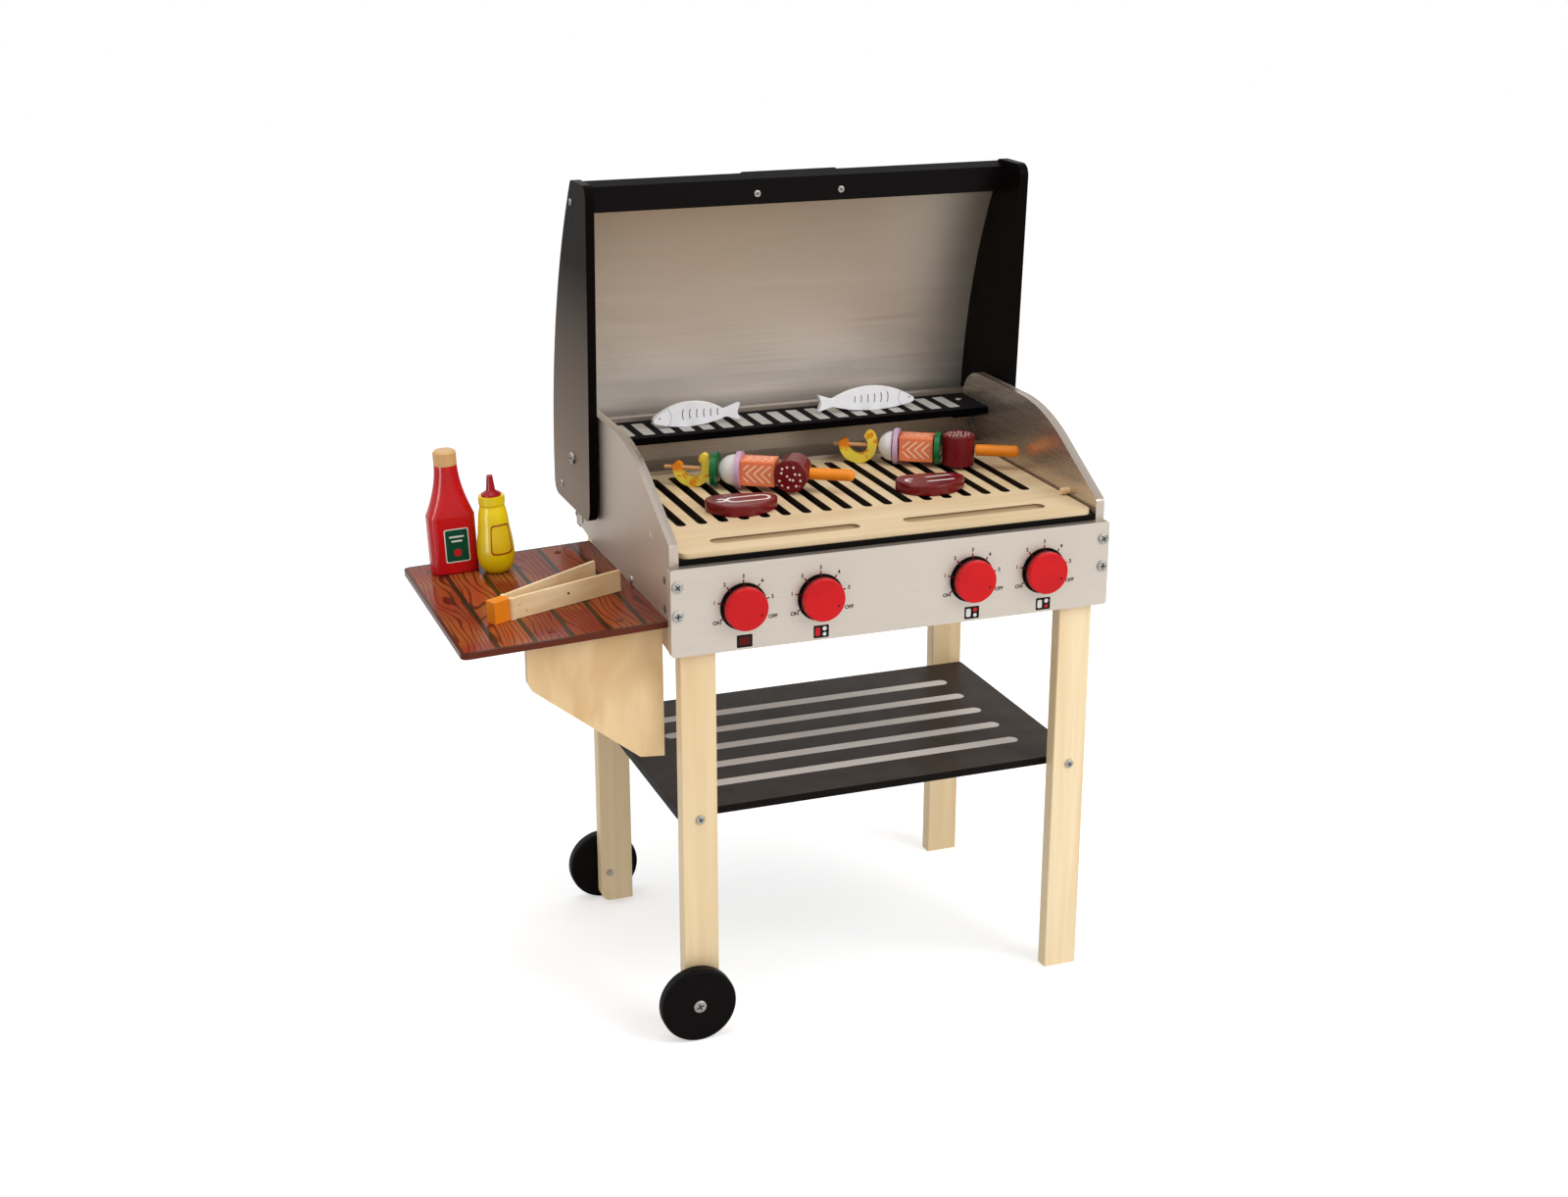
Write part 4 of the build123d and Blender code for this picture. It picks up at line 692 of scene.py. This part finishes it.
finish(black_paint, "burner_tray", "rack_cleats", "lid_front_rail", "lid_rear_rail",
       "lid_handle", "spacers", "knob_collars", "wheel_front", "wheel_rear")
finish(plate_look, "lid_side_left", "lid_side_right")
finish(birch_leg, "leg_front_left", "leg_front_right", "leg_rear_left", "leg_rear_right")
finish(birch_ply, "table_brackets", "grate_pegs")
finish(grate_wood, "grate")
finish(silver_across, "front_panel")
finish(silver_rear, "rear_panel")
finish(silver_ledge, "rear_ledge")
finish(silver_along, "side_panel_left", "side_panel_right")
finish(steel, "barrel_nuts")
for name, look in knob_looks.items():
    finish(look, name)
finish(shelf_paint, "lower_shelf")
finish(rack_paint, "warming_rack")
finish(skin_sheet, "lid_skin")
finish(table_print, "side_table")


# Modelling helpers
def enter(mode):
    bpy.ops.object.mode_set(mode=mode)


def clear():
    if bpy.context.object and bpy.context.object.mode != "OBJECT":
        enter("OBJECT")
    bpy.ops.object.select_all(action="DESELECT")


def take(thing):
    """Makes one piece the selected and active one."""
    clear()
    thing.select_set(True)
    bpy.context.view_layer.objects.active = thing


def settle(thing):
    """Puts a piece's place into its mesh."""
    take(thing)
    bpy.ops.object.transform_apply(location=True, rotation=True, scale=True)


def choose(thing, test, kind="FACE"):
    """Selects, in edit mode, only the faces or edges that pass a test."""
    bpy.context.tool_settings.mesh_select_mode = (False, kind == "EDGE", kind == "FACE")
    bpy.ops.mesh.select_all(action="DESELECT")
    cage = bmesh.from_edit_mesh(thing.data)
    for item in (cage.faces if kind == "FACE" else cage.edges):
        if test(item):
            item.select_set(True)
    bmesh.update_edit_mesh(thing.data)


def joined(things, name):
    clear()
    for thing in things:
        thing.select_set(True)
    bpy.context.view_layer.objects.active = things[0]
    if len(things) > 1:
        bpy.ops.object.join()
    things[0].name = name
    things[0].data.name = name
    return things[0]


def copies(thing, name, places):
    """One piece of copies, each with its own mesh, turned and placed by a matrix."""
    made = []
    for place_ in places:
        copy = thing.copy()
        copy.data = thing.data.copy()
        bpy.context.collection.objects.link(copy)
        copy.data.transform(place_)
        made.append(copy)
    bpy.data.objects.remove(thing)
    return joined(made, name)


def pointing(point, way, spin=0.0):
    """The matrix that stands a piece on a point with its own up along a direction."""
    turn_ = Vector((0, 0, 1)).rotation_difference(Vector(way)).to_matrix().to_4x4()
    return Matrix.Translation(point) @ turn_ @ Matrix.Rotation(spin, 4, "Z")


def carry(thing, body, look=None):
    take(thing)
    bpy.ops.object.shade_smooth_by_angle(angle=radians(35))
    if look:
        thing.data.materials.clear()
        thing.data.materials.append(look)
    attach(thing, body)
    return thing


def cylinder(sides, radius, depth, lift=0.0):
    """An upright cylinder, centred on the origin or lifted; metres."""
    clear()
    bpy.ops.mesh.primitive_cylinder_add(vertices=sides, radius=radius, depth=depth,
                                        location=(0, 0, lift))
    settle(bpy.context.object)
    return bpy.context.object


def soften(thing, test, offset, segments):
    """Rounds the edges that pass a test."""
    enter("EDIT")
    choose(thing, test, "EDGE")
    bpy.ops.mesh.bevel(offset=offset, segments=segments)
    enter("OBJECT")


def is_level(side):
    return abs(side.verts[0].co.z - side.verts[1].co.z) < 1e-6


def cut_bar(thing, lift, size, quarter=0):
    """Cuts the shape of a bar, so far up and turned by so many degrees, out of a piece."""
    clear()
    bpy.ops.mesh.primitive_cube_add(size=1, location=(0, 0, lift))
    bar = bpy.context.object
    bar.scale = size
    bar.rotation_euler = (0, 0, radians(quarter))
    settle(bar)
    take(thing)
    carve = thing.modifiers.new("cut", "BOOLEAN")
    carve.operation = "DIFFERENCE"
    carve.object = bar
    bpy.ops.object.modifier_apply(modifier=carve.name)
    bpy.data.objects.remove(bar)


def fastener(head, rise, shank, length):
    """A round-headed bolt, head up from z = 0, with a cross recess; millimetres."""
    head, rise, shank, length = head / 1000, rise / 1000, shank / 1000, length / 1000
    bolt = cylinder(32, head, rise, rise / 2)
    soften(bolt, lambda e: min(v.co.z for v in e.verts) > rise * 0.9, rise * 0.62, 4)
    enter("EDIT")
    choose(bolt, lambda f: f.normal.z < -0.9)
    bpy.ops.mesh.inset(thickness=head - shank)
    bpy.ops.mesh.extrude_region_move(TRANSFORM_OT_translate={"value": (0, 0, -length)})
    enter("OBJECT")
    for quarter in (0, 90):
        cut_bar(bolt, rise, (head * 1.1, head * 0.24, rise * 1.3), quarter)
    bolt.data.materials.append(steel)
    bolt.data.materials.append(recess_shade_steel)
    # The faces inside the cross recess take the dark paint, as painted shade
    for face in bolt.data.polygons:
        if face.center.xy.length < head * 0.6 and 0 < face.center.z < rise * 0.95:
            face.material_index = 1
    return bolt


def barrel(radius, depth):
    """A plain cross dowel with a screwdriver slot in each end, along z; millimetres."""
    radius, depth = radius / 1000, depth / 1000
    rod = cylinder(32, radius, depth)
    soften(rod, is_level, radius * 0.1, 2)
    for end in (-1, 1):
        cut_bar(rod, end * depth / 2, (radius * 3, radius * 0.28, radius * 0.6))
    return rod


LEFT, RIGHT, FRONT, REAR, UP = (-1, 0, 0), (1, 0, 0), (0, -1, 0), (0, 1, 0), (0, 0, 1)
table_up = (-sin(droop), 0, cos(droop))
panel_bolts_x, front_bolts_z, rear_bolts_z = (6.5, 443.5), (438, 466), (445, 490)
rear_face, leg_bolts_z, wheel_x, wheel_z = 333, 227.5, 20, 38
pivot_y, pivot_z = 295, 515.8
handle_screws_x, lid_screw_z = (180, 270), 778.7
table_screws_y = (38, 262)

# Bolts through the front and rear panels, and longer ones through the legs
panel_bolts = copies(
    fastener(5.5, 2.0, 3.0, 20.5), "panel bolts",
    [pointing(at(x_, y_, z_), way, number_ * 0.7)
     for number_, (x_, y_, z_, way) in enumerate(
         [(x_, 0, z_, FRONT) for x_ in panel_bolts_x for z_ in front_bolts_z]
         + [(x_, rear_face, z_, REAR) for x_ in panel_bolts_x for z_ in rear_bolts_z])])
leg_bolts = copies(
    fastener(4.5, 2.0, 2.5, 36.0), "leg bolts",
    [pointing(at(x_, y_, leg_bolts_z), way, 0.5) for x_ in (28.5, 421.5)
     for y_, way in ((9, FRONT), (324, REAR))])
bolts = carry(joined([panel_bolts, leg_bolts], "frame_bolt_set"), "grill")
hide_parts("frame_bolts")

axle_bolts = carry(copies(
    fastener(6.5, 2.0, 3.0, 36.6), "axle_bolt_set",
    [pointing(at(wheel_x, -8.6, wheel_z), FRONT, 0.4),
     pointing(at(wheel_x, 341.6, wheel_z), REAR)]), "grill")
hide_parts("wheel_bolts")

hinge_bolts = copies(
    fastener(6.5, 2.7, 4.0, 24.3), "hinge bolts",
    [pointing(at(-9.8, pivot_y, pivot_z), LEFT, 0.3),
     pointing(at(459.8, pivot_y, pivot_z), RIGHT)])
nut = cylinder(6, 0.0054, 0.003)
soften(nut, is_level, 0.0004, 2)
nuts = copies(nut, "hinge nuts", [pointing(at(12.5, pivot_y, pivot_z), RIGHT),
                                  pointing(at(437.5, pivot_y, pivot_z), LEFT)])
nuts.data.materials.append(steel)
hinge_set = carry(joined([hinge_bolts, nuts], "lid_pivot_set"), "grill")
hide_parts("pivot_bolts")

dowels = carry(copies(
    barrel(4.0, 9.0), "cross_dowel_set",
    [pointing(at(x_, y_, z_), RIGHT, 0.4 + y_ / 100 + z_ / 50) for x_ in panel_bolts_x
     for y_, heights in ((25, front_bolts_z), (308, rear_bolts_z)) for z_ in heights]),
    "grill", dowel_steel)
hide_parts("barrel_nuts")

lid_set = carry(copies(
    fastener(3.6, 1.5, 2.0, 16.0), "lid_screw_set",
    [pointing(at(x_, 263.5, lid_screw_z), FRONT, 0.6) for x_ in handle_screws_x]
    + [pointing(at(x_, y_, z_), way, y_ / 90) for x_, way in ((-9.5, LEFT), (459.5, RIGHT))
       for y_, z_ in ((274.2, lid_screw_z), (342.5, 477.0))]),
    "lid")
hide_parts("lid_screws")

board_screws = carry(copies(
    fastener(3.6, 1.5, 2.0, 8.5), "board_screw_set",
    [pointing(at(x_, 296, 540.5), UP, x_ / 80) for x_ in (27.4, 422.6)]
    + [pointing(at(11, y_, 411), RIGHT, 0.2) for y_ in table_screws_y]
    + [pointing(at(2, 132, 433.8), LEFT, 0.5)]),
    "grill")
table_screws = carry(copies(
    fastener(3.6, 0.9, 2.0, 12.0), "table_screw_set",
    [pointing(on_table(out, y_, 0), table_up, out / 50) for out in (-40, -105)
     for y_ in table_screws_y]), "grill", table_screw_paint)
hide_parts("wood_screws")
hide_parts("wood_screws")


# Tongs: two small round pins near the block end of each arm, and a plug further along
def pin(radius, rise, look):
    """A low round head with a softened rim, up from z = 0; millimetres."""
    head = cylinder(16, radius / 1000, rise / 1000, rise / 2000)
    soften(head, lambda e: min(v.co.z for v in e.verts) > rise / 1100, rise / 1500, 3)
    head.data.materials.append(look)
    return head


tongs_yaw, tongs_splay, tongs_middle = radians(22.3), radians(6.4), Vector((-131.7, 91.8))
bead_aside, arm_half, laid = 6.5, 1.5, 0.3


def on_arm(way, along, height):
    """The matrix for a head on an arm's outer face: so far from its bead and up the arm."""
    lean = tongs_yaw + tongs_splay * way
    out = Vector((-sin(lean), cos(lean))) * way
    point = tongs_middle + Vector((-sin(tongs_yaw), cos(tongs_yaw))) * way * bead_aside
    point += Vector((cos(lean), sin(lean))) * along + out * arm_half
    return pointing(on_table(point.x, point.y, laid + height),
                    (out.x * cos(droop), out.y, out.x * sin(droop)))


for arm, way in (("front", -1), ("rear", 1)):
    heads = joined(
        [copies(pin(0.9, 0.45, steel), "pins", [on_arm(way, 7.0, 13.0), on_arm(way, 14.0, 6.0)]),
         copies(pin(1.5, 0.25, table_screw_paint), "plug", [on_arm(way, 60.0, 11.5)])],
        "tongs_" + arm + "_pins")
    carry(heads, "tongs_arm_" + arm + "_turn")


# Prints on the front panel: strokes and numbers round each dial, and a burner sign below it
def thicken(thick):
    """Gives the flat sheet that is being edited its thickness, towards the front."""
    bpy.ops.mesh.select_all(action="SELECT")
    bpy.ops.mesh.extrude_region_move(TRANSFORM_OT_translate={"value": (0, -thick / 1000, 0)})
    bpy.ops.mesh.select_all(action="SELECT")
    bpy.ops.mesh.normals_make_consistent(inside=False)
    enter("OBJECT")


def stroke(length, wide, thick):
    """A round-ended ink stroke standing on the origin, facing the front; millimetres."""
    clear()
    bpy.ops.mesh.primitive_circle_add(vertices=16, radius=wide / 2000, fill_type="NGON",
                                      rotation=(radians(90), 0, 0))
    mark = bpy.context.object
    settle(mark)
    enter("EDIT")
    bpy.context.tool_settings.mesh_select_mode = (True, False, False)
    bpy.ops.mesh.select_all(action="DESELECT")
    cage = bmesh.from_edit_mesh(mark.data)
    for vertex in cage.verts:
        vertex.select_set(vertex.co.z > 1e-7)
    bmesh.update_edit_mesh(mark.data)
    bpy.ops.transform.translate(value=(0, 0, (length - wide) / 1000))
    thicken(thick)
    return mark


def plate(wide, high, thick, corner):
    """A thin rounded plate facing the front, centred on the origin; millimetres."""
    clear()
    bpy.ops.mesh.primitive_plane_add(size=1, rotation=(radians(90), 0, 0))
    sheet = bpy.context.object
    sheet.scale = (wide / 1000, high / 1000, 1)
    settle(sheet)
    enter("EDIT")
    bpy.ops.mesh.select_all(action="SELECT")
    bpy.ops.mesh.bevel(affect="VERTICES", offset=corner / 1000, segments=5)
    thicken(thick)
    return sheet


def lettering(words, size, thick):
    """Words as a thin mesh facing the front, centred on the origin; millimetres."""
    clear()
    bpy.ops.object.text_add(rotation=(radians(90), 0, 0))
    text = bpy.context.object
    text.data.body = words
    text.data.size = size / 1000
    text.data.align_x = "CENTER"
    text.data.align_y = "CENTER"
    text.data.extrude = thick / 1000
    text.data.offset = 0.00016
    bpy.ops.object.convert(target="MESH")
    settle(text)
    enter("EDIT")
    bpy.ops.mesh.select_all(action="SELECT")
    bpy.ops.mesh.remove_doubles(threshold=0.000001)
    bpy.ops.mesh.normals_make_consistent(inside=False)
    enter("OBJECT")
    return text


def inked(thing, ink):
    thing.data.materials.clear()
    thing.data.materials.append(ink)
    return thing


dial_step, numbers_out, stroke_length = 38.7, 29.4, 3.2
dial_strokes = []
for name, across in knob_places:
    for turn_ in range(-3, 4):
        angle = radians(turn_ * dial_step)
        for proud, inner, length in ((1.0, 20.4, 2.4), (0.0, 23.3, 3.8)):
            dial_strokes.append(
                Matrix.Translation(at(across, -proud, panel_middle))
                @ Matrix.Rotation(angle, 4, "Y")
                @ Matrix.Translation((0, 0, inner / 1000))
                @ Matrix.Scale(length / stroke_length, 4, (0, 0, 1)))
printed = [inked(copies(stroke(stroke_length, 1.45, 0.06), "strokes", dial_strokes), ink_red)]
for name, across in knob_places:
    for words, turn_ in zip(("ON", "1", "2", "3", "4", "5", "OFF"), range(-3, 4)):
        angle = radians(turn_ * dial_step)
        spots = {"ON": (-26.2, -13.5), "OFF": (29.0, -13.0)}
        right, over = spots.get(words, (numbers_out * sin(angle), numbers_out * cos(angle)))
        text = inked(lettering(words, 5.1, 0.05), ink_black)
        centre = at(across + right, -0.05, panel_middle + over)
        text.data.transform(Matrix.Translation(centre))
        printed.append(text)
sign_aside, sign_z = 0.8, 406.4
for number_, (name, across) in enumerate(knob_places):
    marks = [(plate(15.5, 12.5, 0.08, 1.0), 0, 0, 0, ink_black)]
    if number_ == 0:
        marks += [(plate(1.0, 7.6, 0.06, 0.45), bar * 2.2, 0, 0.08, ink_red)
                  for bar in range(-2, 3)]
    else:
        colours = [ink_white, ink_white, ink_white]
        colours[(0, 0, 1, 2)[number_]] = ink_bright
        marks += [(plate(4.8, 8.2, 0.06, 1.2), -3.6, 0, 0.08, colours[0]),
                  (plate(4.2, 4.2, 0.06, 2.09), 3.4, 2.6, 0.08, colours[1]),
                  (plate(3.6, 3.6, 0.06, 1.79), 3.4, -2.9, 0.08, colours[2])]
    for mark, dx, dz, proud, ink in marks:
        centre = at(across + sign_aside + dx, -proud, sign_z + dz)
        mark.data.transform(Matrix.Translation(centre))
        printed.append(inked(mark, ink))
carry(joined(printed, "dial_print"), "grill")

# Ketchup label: a white-edged green sign with two bars and a round spot
label_out, label_front, label_middle = -145.6, 241.0, 29.5
label = []
for piece, dx, dz, proud, ink in (
        (plate(24.5, 34.5, 0.12, 2.0), 0, 0, 0, label_white),
        (plate(22.3, 32.3, 0.08, 1.4), 0, 0, 0.12, label_green),
        (plate(8.0, 8.0, 0.06, 3.98), 0, -7.5, 0.2, ink_bright),
        (plate(15, 1.8, 0.06, 0.8), 0, 9.0, 0.2, label_white),
        (plate(11, 1.8, 0.06, 0.8), 0, 4.5, 0.2, label_white)):
    centre = on_table(label_out + dx, label_front - proud, label_middle + dz)
    piece.data.transform(Matrix.Translation(centre) @ Matrix.Rotation(-droop, 4, "Y"))
    label.append(inked(piece, ink))
carry(joined(label, "ketchup_label"), "ketchup")

# Studio: a white floor with some glow of its own, and a white world that lights the toy less
# brightly than it looks
floor_glow, world_light = 0.45, 0.62
bpy.ops.object.select_all(action="DESELECT")
bpy.ops.mesh.primitive_plane_add(size=14, location=(0, 0, 0))
floor = bpy.context.object
floor.name = "floor"
floor_white, tree, shader, place = material("floor white", 0.9)
shader.inputs["Base Color"].default_value = (0.9, 0.9, 0.9, 1)
seen = add(tree, "ShaderNodeLightPath").outputs["Is Camera Ray"]
feed(tree, shader.inputs["Emission Strength"], times(tree, seen, floor_glow))
shader.inputs["Emission Color"].default_value = (1, 1, 1, 1)
floor.data.materials.append(floor_white)

world = bpy.data.worlds.new("studio")
bpy.context.scene.world = world
world.use_nodes = True
sky = world.node_tree
paths = add(sky, "ShaderNodeLightPath")
plain = calc(sky, "MAXIMUM", paths.outputs["Is Camera Ray"],
             calc(sky, "MAXIMUM", paths.outputs["Is Glossy Ray"],
                  paths.outputs["Is Transmission Ray"]))
feed(sky, sky.nodes["Background"].inputs["Strength"], calc(sky, "MAXIMUM", plain, world_light))
sky.nodes["Background"].inputs["Color"].default_value = (1, 1, 1, 1)


def soft_light(name, place, target, wide, high, watts):
    """A rectangular lamp at a place, turned to a target; metres."""
    lamp = bpy.data.lights.new(name, "AREA")
    lamp.shape = "RECTANGLE"
    lamp.size = wide
    lamp.size_y = high
    lamp.energy = watts
    holder = bpy.data.objects.new(name, lamp)
    bpy.context.collection.objects.link(holder)
    holder.location = place
    aim = Vector(target) - Vector(place)
    holder.rotation_euler = aim.to_track_quat("-Z", "Y").to_euler()
    return holder


soft_light("key", (1.5, -1.7, 1.9), (0, 0, 0.45), 1.5, 1.5, 30)
soft_light("top", (-0.5, -0.2, 2.7), (0, 0, 0.4), 1.6, 1.6, 16)

# A lamp that only adds highlights to the glossy toys
gleam = soft_light("gleam", (-1.45, -0.5, 0.7), (-0.25, 0.05, 0.6), 0.45, 1.3, 14)
gleam.visible_diffuse = False
glossy = bpy.data.collections.new("glossy toys")
for name in ("ketchup_bottle", "mustard_bottle", "mustard_nozzle", "steak_left", "steak_right",
             "salami_left", "salami_right", "handle_left", "handle_right", "garnish_left",
             "garnish_right", "shrimp_left", "shrimp_right"):
    glossy.objects.link(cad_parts[name])
gleam.light_linking.receiver_collection = glossy

# Camera where the photograph was taken from
camera_rise, camera_turn = 18.70, 20.43
view = bpy.data.cameras.new("camera")
view.lens = 50.03
view.sensor_width = 36.0
camera = bpy.data.objects.new("camera", view)
bpy.context.collection.objects.link(camera)
camera.location = at(-560.2, -1800.2, 1093.7)
camera.rotation_euler = (radians(90 - camera_rise), 0, radians(-camera_turn))
bpy.context.scene.camera = camera
bpy.context.scene.view_settings.view_transform = "Standard"
